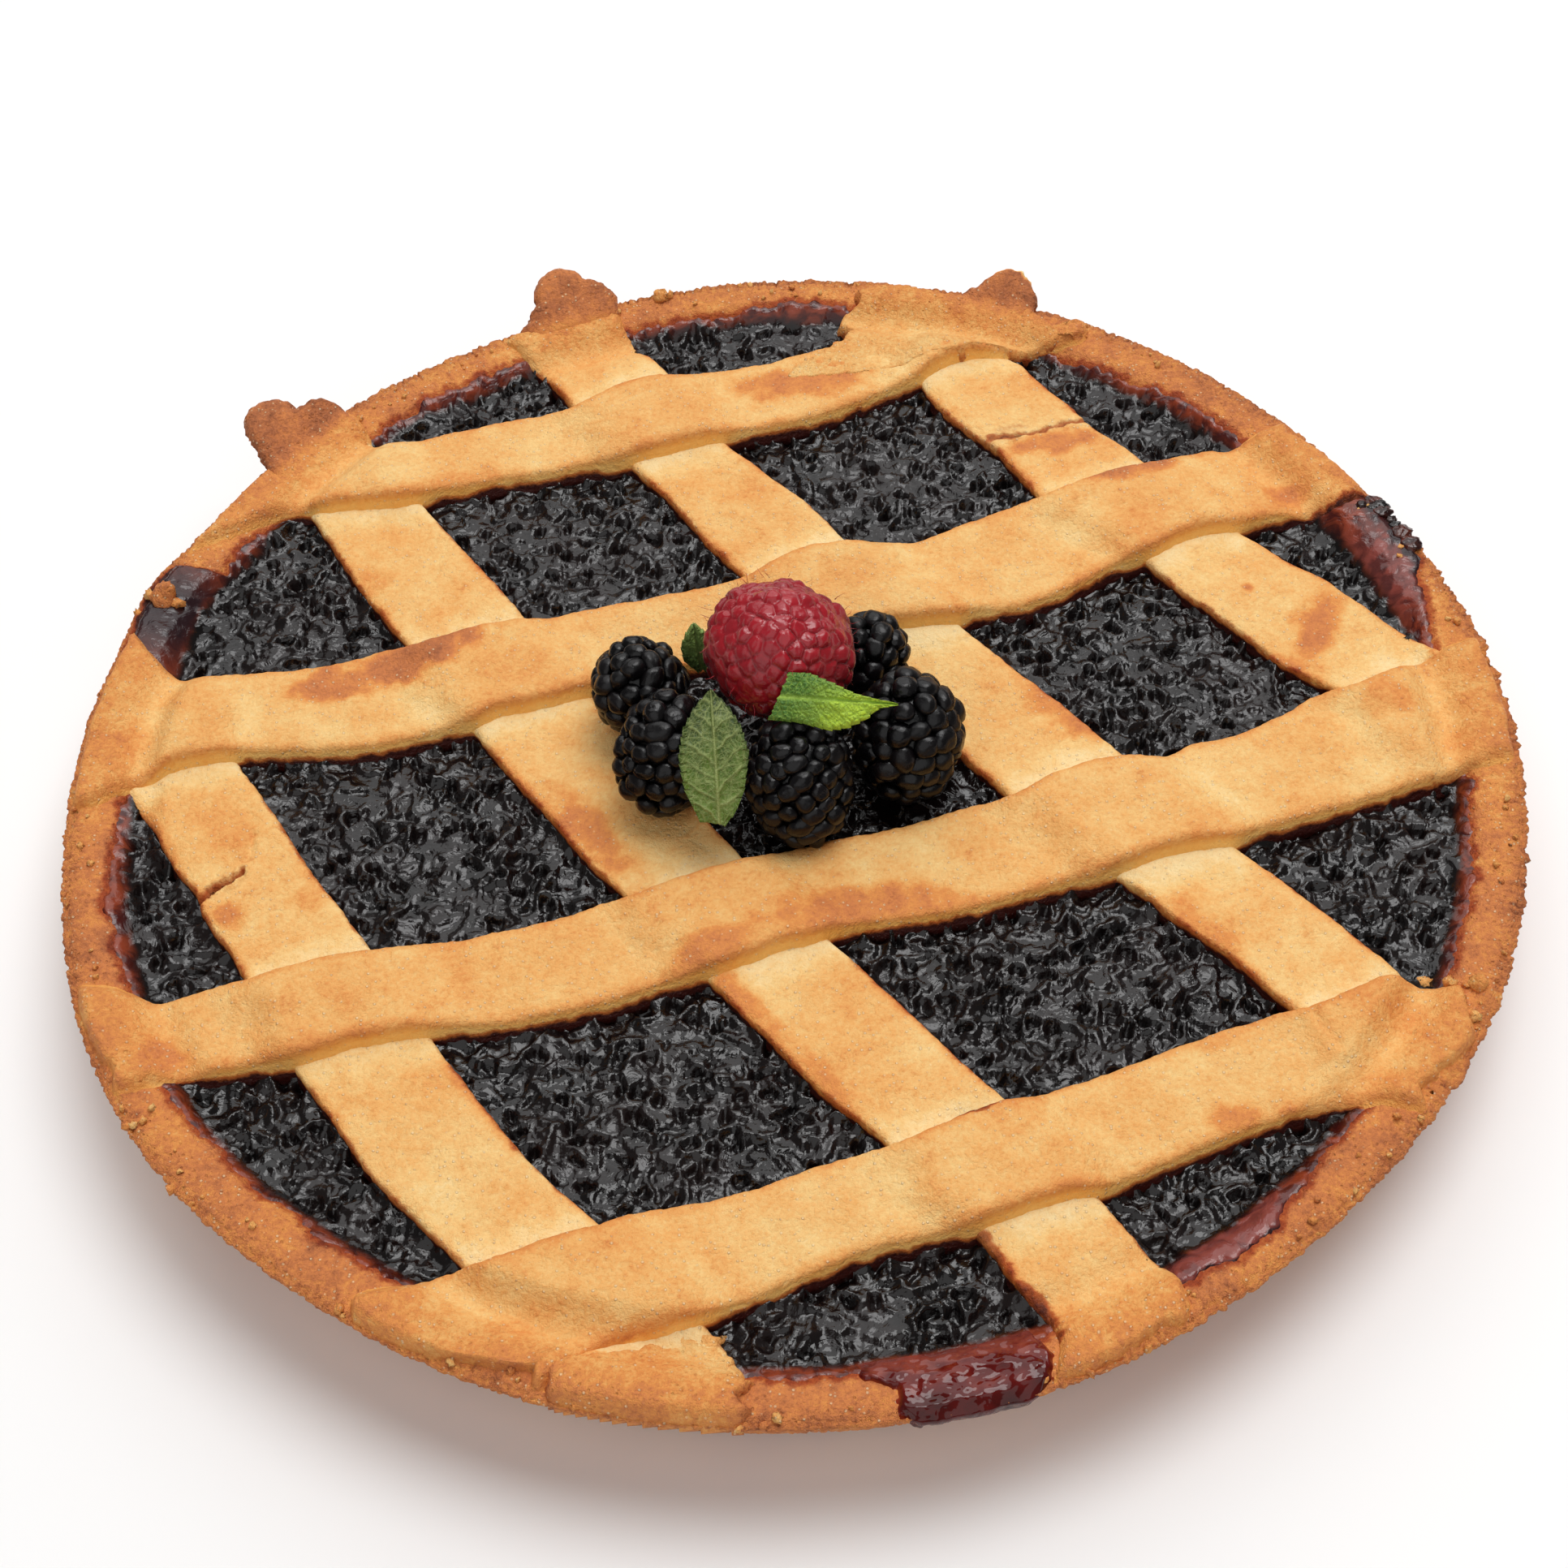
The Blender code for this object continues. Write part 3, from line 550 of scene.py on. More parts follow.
def pastry_material(name):
    """Baked shortcrust. Paint: red how brown, green jam stain, blue cut side, alpha how coarse."""
    n = Nodes(name, 0.64, Specular_IOR_Level=0.28)
    where = n.where()
    bake, stain, side, coarse = n.paint()
    cloud = n.noise(55, 2, 0.55, where)
    mottle = n.noise(240, 3, 0.62, where)
    grit = n.noise(1150, 3, 0.75, where)
    spots = n.voronoi(1500, where=where)
    lot = n.node("ShaderNodeSeparateColor")
    n.link(spots.node.outputs["Color"], lot.inputs[0])
    value = n.add(bake, n.centred(cloud, 0.34), n.centred(mottle, 0.32), n.centred(grit, 0.42), n.times(n.math("SUBTRACT", grit, 0.5), n.times(coarse, 0.38)))
    colour = n.colours(value, BAKE)
    # cut sides: dense and amber, and painted lighter than a top of the same browning: painted light that lifts the
    # shade on the sides
    side_colour_and_painted_light = n.colours(n.add(n.math("SUBTRACT", bake, 0.12), n.centred(mottle, 0.3), n.centred(grit, 0.2)), SIDE_AMBER_AND_PAINTED_LIGHT)
    colour = n.blend(n.times(side, 0.9), colour, side_colour_and_painted_light)
    # small dark pores and pale sugar grains
    pore_on = n.times(n.times(n.ramp(spots, 0.42, 0.16), n.ramp(lot.outputs[0], 0.16, 0.05)), n.ramp(coarse, 0.0, 0.6))
    dark = n.blend(1.0, colour, (0.74, 0.56, 0.42), "MULTIPLY")
    colour = n.blend(n.times(pore_on, 0.32), colour, dark)
    grain_on = n.times(n.ramp(spots, 0.42, 0.22), n.ramp(lot.outputs[0], 0.80, 0.95))
    colour = n.blend(n.times(grain_on, 0.50), colour, srgb(255, 228, 184))
    # jam soaked in: amber brown, then near black
    soak = n.add(stain, n.centred(mottle, 0.55), n.centred(grit, 0.25))
    colour = n.blend(n.ramp(soak, 0.06, 0.40), colour, n.blend(1.0, colour, (0.56, 0.27, 0.18), "MULTIPLY"))
    colour = n.blend(n.ramp(soak, 0.34, 0.72), colour, srgb(58, 16, 10))
    roughness = n.ramp(soak, 0.3, 0.9, 0.64, 0.34)
    height = n.add(n.times(grit, 0.75), n.times(mottle, 0.6), n.times(n.times(grit, coarse), 0.9))
    height = n.math("SUBTRACT", height, n.times(pore_on, 0.5))
    height = n.add(height, n.times(grain_on, 0.3))
    normal = n.bump(height, 0.85, 0.00075)
    return n.finish(colour, roughness, normal)


PASTRY = pastry_material("baked_pastry")


def jam_material():
    """Paint: red thin syrup over pastry, green cloudy syrup, blue syrup that is thick and dark."""
    n = Nodes("jam", 0.17, Specular_IOR_Level=0.43)
    where = n.where()
    thin, cloudy, deep, alpha = n.paint()
    patch = n.noise(130, 3, 0.6, where)
    fine = n.noise(800, 2, 0.5, where, 0.8)
    ridges = n.noise(270, 3, 0.5, where, 1.0)
    colour = n.blend(n.ramp(patch, 0.35, 0.7), srgb(10, 6, 6), srgb(22, 13, 12))
    red = n.blend(n.ramp(ridges, 0.35, 0.65), srgb(66, 14, 9), srgb(136, 56, 30))
    colour = n.blend(n.ramp(n.add(thin, n.centred(patch, 0.5)), 0.25, 0.9), colour, red)
    colour = n.blend(n.ramp(n.add(cloudy, n.centred(ridges, 0.7)), 0.34, 0.95), colour, srgb(134, 66, 60))
    colour = n.blend(n.ramp(n.add(deep, n.centred(ridges, 0.7)), 0.15, 0.85), colour, srgb(36, 15, 20))
    height = n.add(n.times(fine, 0.20), ridges)
    calm = n.ramp(thin, 0.2, 0.8, 1.0, 0.85)
    normal = n.bump(n.times(height, calm), 0.46, 0.0010)
    roughness = n.add(n.ramp(patch, 0.35, 0.7, 0.12, 0.21), n.ramp(thin, 0.3, 0.9, 0.0, 0.06))
    return n.finish(colour, roughness, normal)


JAM = jam_material()


# ------------------------------------------------------------------ crust

def crimps(theta):
    """Fine folds around the rim: 0 in a groove, 1 on a fold."""
    pitch = 460
    place = theta / PI2 * pitch + 0.5 * noise(theta * 30, 0 * theta, 17)
    number = np.floor(place)
    depth = hashed(number, number * 0 + 3, 11)
    return 1 - step(0.2, 0.9, depth) * (1 - np.abs(np.sin(math.pi * place)) ** 0.7)


def make_crust():
    around = int(2100 / COARSE)
    theta = -math.pi + np.arange(around) * PI2 / around
    radius, height, width = rim_radius(theta), rim_height(theta), rim_width(theta)
    cx, cy = np.cos(theta), np.sin(theta)
    fold = crimps(theta)
    tooth = np.floor(theta * 95 + 0.8 * noise(theta * 20, 0 * theta, 19))
    ragged = (hashed(tooth, 0 * tooth, 23) - 0.45) * 0.9 + noise(theta * 160, 0 * theta + 5, 22) * 0.5 + 0.5 * noise(theta * 34, 0 * theta, 21)
    ragged = ragged * (1 + 0.9 * bump_at(theta, 3, 34) + 0.6 * bump_at(theta, 100, 40))
    rows = []
    for w in np.linspace(0, 1, 11):
        r = mix(BASE_R + 0.4, radius - 0.9, w**0.94)
        r = r - 0.9 * math.exp(-(w / 0.05)) + 0.5 * math.sin(math.pi * w)
        z = mix(0.0, height - 1.9, w) + 0 * theta
        r = r - 0.26 * (1 - fold) * min(1, w * 8) * (1 + 1.6 * w) + 0.30 * ragged * w**3
        r = r + 0.42 * fbm(theta * 52, w * 8 + 0 * theta, 31, 3) * min(1, 8 * w)
        rows.append((r, z, w, "wall"))
    for k, (dr, dz) in enumerate([(-0.35, -1.35), (-0.05, -0.85), (-0.20, -0.40)]):
        fade = 1 - 0.25 * k
        r = radius + dr - 0.60 * (1 - fold) * fade + 0.62 * ragged * fade
        z = height + dz - 0.25 * (1 - fold) + 0.30 * ragged * fade
        rows.append((r, z, 0.0, "lip"))
    for w in np.concatenate([np.linspace(0.10, 1.0, 15), np.linspace(1.08, 1.5, 6)]):
        r = radius - w * width
        rows.append((r, None, w, "top"))
    rows.append((radius - 2.6 * width, height - 15, 2.6, "floor"))
    rows.append((radius - 4.0 * width, height - 17.3, 4.0, "floor"))
    points, paint = [], []
    for r, z, w, kind in rows:
        x, y = r * cx, r * cy
        coarse = 1.0 + 0 * theta
        stain = 0 * theta
        if kind == "top":
            z = shell_top(x, y)
            outer = step(0.62, 0.10, w)
            d1, _, mark = cells(x / 1.5, y / 1.5, 43)
            pit = step(0.40, 0.12, d1) * step(0.50, 0.8, mark)
            d3, _, mark3 = cells(x / 2.9, y / 2.9, 47)
            pit2 = step(0.38, 0.08, d3) * step(0.62, 0.85, mark3)
            z = z + 0.24 * fbm(x / 1.6, y / 1.6, 44, 3) - (0.06 + 0.34 * outer) * pit - (0.04 + 0.08 * outer) * pit2 - 0.30 * crackle(x, y)
            z = z - 0.50 * (1 - fold) * outer + 0.30 * ragged * step(0.35, 0.10, w)
            # painted shade: browner in the pleat grooves
            bake = rim_bake(x, y, w) + 0.09 * (1 - fold) * outer + (0.02 + 0.03 * outer) * pit
            coarse = mix(0.40, 1.0, outer)
            gap = (r - (radius - width)) - syrup_reach(theta)
            stain = 0.36 * step(1.5, -0.3, gap + 0.5 * fbm(x / 2, y / 2, 56, 2)) + 0.4 * step(-0.6, -1.6, gap)
        elif kind == "lip":
            # painted shade: browner in the pleat grooves
            bake = 0.65 + 0.12 * fbm(x / 9, y / 9, 53, 3) + 0.10 * (1 - fold)
        elif kind == "wall":
            # painted shade: browner in the pleat grooves
            bake = 0.50 + 0.15 * w + 0.14 * fbm(x / 16, w * 1.3 + y / 16, 54, 3) + 0.14 * fbm(theta * 30, w * 5 + 0 * theta, 57, 3) + 0.07 * (1 - fold) * (0.4 + w)
            coarse = 0.8 + 0 * theta
        else:
            bake, stain = 0.5 + 0 * theta, 1.0 + 0 * theta
        points.append(np.stack([x, y, z + 0 * theta], -1))
        paint.append(np.stack([bake + 0 * theta, stain, 0 * theta, coarse + 0 * theta], -1))
    points, paint = np.concatenate(points), np.concatenate(paint)
    faces = grid_faces(len(rows), around, wrap_columns=True)[:, ::-1]
    base_centre, floor_centre = len(points), len(points) + 1
    points = np.concatenate([points, [[0, 0, 0.0], [0, 0, 5.9]]])
    paint = np.concatenate([paint, [[0.6, 0, 0, 0.6], [0.5, 1, 0, 0]]])
    k = np.arange(around)
    base = np.stack([(k + 1) % around, k, np.full(around, base_centre)], -1)
    last = (len(rows) - 1) * around
    floor = np.stack([last + k, last + (k + 1) % around, np.full(around, floor_centre)], -1)
    return mesh("crust_shell", points, [faces[:, ::-1], base, floor], PASTRY, np.clip(paint, 0, 1), node="crust")


# ------------------------------------------------------------------ jam

def nearest_strip(x, y):
    """How deep a plan point lies inside a strip's footprint, in mm; negative outside."""
    best = np.full(np.shape(x), -99.0)
    for s in STRIPS_UNDER + STRIPS_OVER:
        t, half = s.across(x, y)
        lean = 0.84 if not s.over else 0.97
        best = np.maximum(best, (1 - np.abs(t)) * half * lean)
    return best


def jam_level(x, y):
    """Height of the jam, how near it is to the rim, and how much higher it stands than the shell."""
    theta = np.arctan2(y, x)
    r = np.hypot(x, y)
    out = r - (rim_radius(theta) - rim_width(theta))  # distance beyond the inner edge of the rim
    calm = step(-2.6, -0.2, out)
    wx = x + 1.5 * fbm(x / 3.6, y / 3.6, 71, 2)
    wy = y + 1.5 * fbm(x / 3.6 + 40, y / 3.6, 72, 2)
    broad = 0.55 * fbm(x / 15, y / 15, 73, 2)
    lively = 0.75 + 0.5 * step(-0.35, 0.35, noise(x / 13 + 5, y / 13, 83))
    lumps = 1.22 * fbm(wx / 4.3, wy / 4.3, 74, 3, 0.5)
    folds = np.clip(1 - np.abs(noise(wx / 4.0 + 9, wy / 4.0, 77)) * 3.0, 0, 1) ** 1.5
    tears = np.clip(1 - np.abs(noise(wx / 5.2 + 3, wy / 5.2 + 8, 78)) * 5.0, 0, 1) * step(0.0, 0.5, noise(x / 6, y / 6, 81))
    d1, d2, mark = cells(wx / 3.3, wy / 3.3, 79)
    pit = step(0.42, 0.18, d1) * step(0.54, 0.64, mark)
    rim_of_pit = np.exp(-(((d1 - 0.50) / 0.12) ** 2)) * step(0.54, 0.64, mark)
    e1, e2, mark2 = cells(x / 1.7, y / 1.7, 87)
    pinhole = step(0.34, 0.10, e1) * step(0.80, 0.9, mark2)
    rough = lively * (lumps + 0.55 * folds - 0.85 * tears) - 1.5 * pit + 0.35 * rim_of_pit - 0.6 * pinhole
    z = JAM_Z + 0.05 + broad + rough * (1 - 0.5 * calm)
    z = z + (1.5 + 0.9 * bump_at(theta, -173, 13)) * step(-5.0, 1.5, out)
    shell = shell_top(x, y)
    reach = np.minimum(syrup_reach(theta), rim_width(theta) - 1.2)
    film = shell + 0.45 * step(0.0, -2.0, out - reach) - 0.60 * step(-1.0, 0.4, out - reach) + 0.38 * fbm(x / 2.0, y / 2.0, 85, 3)
    z = smooth_max(z, film, 0.7)
    covered = nearest_strip(x, y)
    z = z + 0.55 * step(-2.0, 0.0, covered) * (1 - calm)
    return z, out, z - shell, reach, covered


def make_jam():
    pitch = 0.445 * COARSE
    axis = np.arange(-122, 122.01, pitch)
    gx, gy = np.meshgrid(axis, axis, indexing="ij")
    z, out, above, reach, covered = jam_level(gx, gy)
    keep = (out < reach + 1.2) & (out < rim_width(np.arctan2(gy, gx)) - 0.8) & (covered < 1.4)
    size = len(axis)
    index = np.arange(size * size).reshape(size, size)
    quads = np.stack([index[:-1, :-1], index[1:, :-1], index[1:, 1:], index[:-1, 1:]], -1).reshape(-1, 4)
    quads = quads[keep.ravel()[quads].all(1)]
    flat = np.stack([gx.ravel(), gy.ravel(), z.ravel()], -1)
    theta = np.arctan2(gy, gx)
    thin = step(2.6, 0.35, above) * step(-5, 0.5, out)
    thin = np.maximum(thin, 0.42 * step(-3.0, 0.8, out + 1.8 * noise(gx / 3, gy / 3, 94)))
    thin = np.maximum(thin, 0.30 * step(-0.9, 0.4, covered))
    where = 1.5 * bump_at(theta, 18, 8) + 1.9 * bump_at(theta, -57, 8) + 0.7 * bump_at(theta, 86, 8) + 0.6 * bump_at(theta, 46, 6) + 0.7 * bump_at(theta, 119, 7) + 0.5 * bump_at(theta, -12, 8)
    cloudy = np.clip(where, 0, 1.4) * step(0.25, 0.8, thin) * 0.52
    against = step(-1.5, -0.3, covered + 0.8 * noise(gx / 2.4, gy / 2.4, 96))
    cloudy = np.maximum(cloudy, 0.26 * against)
    patches = step(-0.25, 0.35, noise(gx / 3.2, gy / 3.2, 97) + 0.5 * noise(gx / 1.4, gy / 1.4, 98))
    deep = 0.85 * bump_at(theta, 159.5, 6.5) + bump_at(theta, 18, 9) * (0.9 * step(3.0, 6.0, out) + 0.55 * patches) + 1.1 * bump_at(theta, -57, 9) * step(-1.3, -0.3, out - reach)
    deep = deep * step(0.25, 0.8, thin)
    paint = np.stack([thin, cloudy, deep, 0 * z], -1).reshape(-1, 4)
    middle = flat[quads][:, :, 1].mean(1)
    for name, chosen in (("jam_front", middle < 2), ("jam_back", middle >= 2)):
        faces = quads[chosen]
        used = np.unique(faces)
        lookup = np.full(size * size, -1)
        lookup[used] = np.arange(len(used))
        mesh(name, flat[used], lookup[faces], JAM, paint[used], node="jam_filling")


# ------------------------------------------------------------------ strips

# Section of a strip's edge: distance outside the edge, and share of the way from its top down to its foot.
EDGE = [(-3.6, 0.0), (-2.4, 0.004), (-1.5, 0.015), (-0.85, 0.04), (-0.42, 0.085), (-0.12, 0.16), (0.05, 0.28), (0.12, 0.44), (0.20, 0.62), (0.34, 0.81), (0.66, 1.0)]

EDGE_OVER = [(-3.6, 0.0), (-2.4, 0.004), (-1.5, 0.015), (-0.85, 0.035), (-0.42, 0.07), (-0.12, 0.125), (0.08, 0.21), (0.32, 0.34), (0.66, 0.52), (1.05, 0.74), (1.6, 1.0)]


def make_strip(s, ends, spots=(), jammy=()):
    """ends: for each end, the margin it keeps to the outer edge of the rim (None for the full length) and its raggedness."""
    pitch = (0.40 if s.number == 1 and not s.over else 0.52) * COARSE
    key = s.key
    profile = EDGE_OVER if s.over else EDGE
    width = float(np.median(np.hypot(*(s.edges[1] - s.edges[0]).T)))
    columns_top = max(4, int((width - 7.2) / pitch))
    length = float(np.hypot(*np.diff(s.edges[0], axis=0).T).sum())
    rows = int(length / (pitch * 1.08))
    section = [("edge", -1, k) for k in range(len(profile) - 1, -1, -1)] + [("top", 0, k) for k in range(1, columns_top)] + [("edge", 1, k) for k in range(len(profile))]
    columns = len(section)
    place = np.array([-1 + 2 * k / columns_top if kind == "top" else float(side) for kind, side, k in section])
    dense = np.linspace(key[0], key[-1], 1400)
    starts, stops = np.full(columns, key[0]), np.full(columns, key[-1])
    for j, t in enumerate(place):
        x, y = s.point(dense, np.full(len(dense), t))
        inward = rim_radius(np.arctan2(y, x)) - np.hypot(x, y)
        middle = len(dense) // 2
        for end in (0, 1):
            margin, rag = ends[end]
            wobble = rag * (noise(t * 3.3 + 11 * end, s.number * 5.1, 122) + 0.5 * noise(t * 9 + 3 * end, s.number, 123))
            if margin is None:
                change = abs(wobble) + (0.6 * t * t if rag else 0)
                if end == 0:
                    starts[j] = key[0] + change
                else:
                    stops[j] = key[-1] - change
                continue
            if end == 0:
                out = np.nonzero(inward[:middle] < margin + wobble)[0]
                if len(out):
                    starts[j] = dense[out[-1]]
            else:
                out = np.nonzero(inward[middle:] < margin + wobble)[0]
                if len(out):
                    stops[j] = dense[middle + out[0]]
    f = np.linspace(0, 1, rows)[:, None]
    u = starts[None, :] * (1 - f) + stops[None, :] * f
    ax, ay = s.point(u, u * 0 - 1)
    bx, by = s.point(u, u * 0 + 1)
    ux, uy = bx - ax, by - ay
    half = np.hypot(ux, uy) / 2
    ux, uy = ux / (2 * half), uy / (2 * half)
    mx, my = (ax + bx) / 2, (ay + by) / 2
    x, y = mx.copy(), my.copy()
    out = np.full(u.shape, -9.0)
    sink = np.zeros(u.shape)
    for j, (kind, side, k) in enumerate(section):
        if kind == "top":
            w = -1 + 2 * k / columns_top
            reach = w * (half[:, j] - 3.6)
        else:
            o, d = profile[k]
            out[:, j], sink[:, j] = o, d
            wobble = 0.26 * noise(u[:, j] / 4.3, 0 * u[:, j] + side * 9, 131 + s.number) + 0.15 * noise(u[:, j] / 1.1, 0 * u[:, j] + side * 5, 141 + s.number)
            reach = side * (half[:, j] + o + wobble * float(step(-3.6, 0, o)))
        x[:, j] = mx[:, j] + ux[:, j] * reach
        y[:, j] = my[:, j] + uy[:, j] * reach
    theta = np.arctan2(y, x)
    radius = rim_radius(theta)
    r = np.hypot(x, y)
    limit = radius - 0.5
    shrink = np.where(r > limit, limit / r, 1.0)
    x, y = x * shrink, y * shrink
    inward = radius - np.hypot(x, y)
    # the strip's own level on the jam, and its level where it lies on the rim
    level, shell, lift, on_rim, _ = strip_level(s, x, y)
    foot = np.minimum(JAM_Z - 0.7, level - 1)
    z_strip = level - sink * (level - foot)
    along = np.minimum(u - starts[None, :], stops[None, :] - u)
    soft = mix(step(-1.6, 0.5, out), sink, 0.5)
    fade = step(-0.1, 1.3, along)
    z_rim = shell + lift * (1 - soft) * fade - 0.5 * (1 - (1 - soft) * fade)
    z = mix(z_strip, z_rim, on_rim)
    if not s.over:  # pressed down where an over strip lies on it
        for o in STRIPS_OVER:
            to, _ = o.across(x, y)
            z = np.where(np.abs(to) < 0.96, np.minimum(z, strip_top(o, x, y) - 0.7), z)
    grain = 0.15 * fbm(x / 2.2, y / 2.2, 151, 3) + 0.20 * fbm(x / 5.5, y / 5.5, 153, 2)
    z = z + grain * (1 - 0.6 * sink)
    thick = step(13, 6, inward) * step(0.6, 1.6, inward) * (1 - sink)
    z = z - thick * (0.55 * crackle(x, y) - 0.30 * fbm(x / 3.1, y / 3.1, 157, 3))
    cut = 0 * z
    seep = 0 * z
    for kind, number, line, depth, wide, jam in CRACKS:
        if (kind == "over") == s.over and number == s.number:
            true_line = to_level(np.array(line, float), np.full(len(line), OVER_Z if s.over else UNDER_Z))
            d = near_line(x + 0.5 * noise(x / 1.6, y / 1.6, 181), y + 0.5 * noise(x / 1.6 + 9, y / 1.6, 182), true_line)
            wall = np.exp(-((d / wide) ** 2))
            cut = np.maximum(cut, depth * wall)
            z = z + 0.3 * depth * np.exp(-(((d - 2.2 * wide) / (1.3 * wide)) ** 2))
            seep = np.maximum(seep, 0.8 * jam * np.exp(-((d / (1.8 * wide)) ** 2)))
            seep = np.maximum(seep, jam * (1 if jam > 0.8 else 0) * 0.5 * step(1.5, 0.2, d + 1.2 * fbm(x / 4, y / 4, 183, 2)))
    z = z - cut
    # colours
    w_rim = inward / rim_width(theta)
    high = hump(x, y) / HUMP if s.over else 0 * z
    own = 0.30 + 0.05 * high + 0.11 * fbm(x / 17, y / 17, 161 + s.number, 3) + (0.13 if s.over else 0.20 * step(-0.3, 0.3, noise(x / 14, y / 14, 164))) * step(-2.6, -0.2, out) * (sink < 0.3)
    bake = mix(own, rim_bake(x, y, w_rim) - 0.07, step(15, 3.0, inward + 2.5 * fbm(x / 6, y / 6, 159, 2)))
    pale = np.zeros(u.shape)
    if not s.over:
        for o in STRIPS_OVER:
            to, ho = o.across(x, y)
            gap = (np.abs(to) - 1) * ho
            pale = np.maximum(pale, step(8.5, 0.0, gap + 2.2 * fbm(x / 6, y / 6, 173, 3)) * (inward > 10))
        bake = bake - 0.25 * pale
    else:
        for o in STRIPS_UNDER:
            to, ho = o.across(x, y)
            gap = (np.abs(to) - 1.5) * ho
            pale = np.maximum(pale, step(4.5, 0.2, np.abs(gap)) * (inward > 10))
        bake = bake - 0.05 * pale
    for (px, py, sx, sy, turn, strength) in spots:
        q = to_level(np.array([[px, py]]), np.array([OVER_Z if s.over else UNDER_Z]))[0]
        c, sn = math.cos(math.radians(turn)), math.sin(math.radians(turn))
        dx, dy = x - q[0], y - q[1]
        d = np.hypot((dx * c + dy * sn) / sx, (-dx * sn + dy * c) / sy) + 0.55 * fbm(x / 4.5, y / 4.5, 171, 3)
        bake = np.maximum(bake, mix(bake, 0.36 + 0.27 * strength, step(1.2, 0.35, d)))
    for (px, py, sx, sy, turn, strength) in jammy:
        q = to_level(np.array([[px, py]]), np.array([OVER_Z if s.over else UNDER_Z]))[0]
        c, sn = math.cos(math.radians(turn)), math.sin(math.radians(turn))
        dx, dy = x - q[0], y - q[1]
        d = np.hypot((dx * c + dy * sn) / sx, (-dx * sn + dy * c) / sy) + 0.6 * fbm(x / 2.5, y / 2.5, 172, 3)
        seep = np.maximum(seep, strength * step(1.15, 0.5, d))
    side = step(0.10, 0.32, sink) * (1 - 0.6 * on_rim)
    above = z - (JAM_Z + 0.45 + 0.80 * fbm(x / 3.4, y / 3.4, 177, 3))
    stain = step(2.5 if s.over else 2.0, 0.0, above) * step(8.0, 10.5, inward) * step(0.10, 0.34, sink)
    if s.over:  # where an over strip's side stands on an under strip there is no jam
        dry = 0 * z
        for o in STRIPS_UNDER:
            to, ho = o.across(x, y)
            dry = np.maximum(dry, step(-0.4, 1.2, (1 - np.abs(to)) * ho))
        stain = stain * (1 - dry)
    if not s.over:  # jam soaked a little way into the top of the edges
        soaked = 0.34 * step(-1.3, 0.1, out + 0.7 * fbm(x / 3, y / 3, 179, 3)) * step(9.0, 11.0, inward)
        seep = np.maximum(seep, soaked * (1 - 0.6 * np.clip(pale, 0, 1)))
    paint = np.stack([np.clip(bake, 0, 1), np.clip(np.maximum(stain, seep), 0, 1), side, step(13, 5, inward) * 0.32 + 0 * z], -1).reshape(-1, 4)
    points = np.stack([x, y, z], -1).reshape(-1, 3)
    faces = grid_faces(rows, columns, wrap_columns=True)

    def cap(ring, flip):
        quads = []
        i, j = 0, columns - 1
        while j - i >= 3:
            quads.append((ring[i], ring[i + 1], ring[j - 1], ring[j]))
            i, j = i + 1, j - 1
        q = np.array(quads)
        return q[:, ::-1] if flip else q

    kind = "over" if s.over else "under"
    all_faces = [faces[:, ::-1] if s.over else faces,
                 cap(np.arange(columns), s.over), cap((rows - 1) * columns + np.arange(columns), not s.over)]
    return mesh(f"pastry_{kind}_{s.number}", points, all_faces, PASTRY, paint, node=f"strip_{kind}_{s.number}")


# ------------------------------------------------------------------ torn pads and tabs

def signed_distance(x, y, outline):
    """Distance to a closed outline, positive inside."""
    ring = [tuple(q) for q in outline] + [tuple(outline[0])]
    d = near_line(x, y, ring)
    inside = np.zeros(np.shape(x), bool)
    for (ax, ay), (bx, by) in zip(ring[:-1], ring[1:]):
        if ay != by:
            crosses = (ay > y) != (by > y)
            inside ^= crosses & (x < (bx - ax) * (y - ay) / (by - ay) + ax)
    return np.where(inside, d, -d)


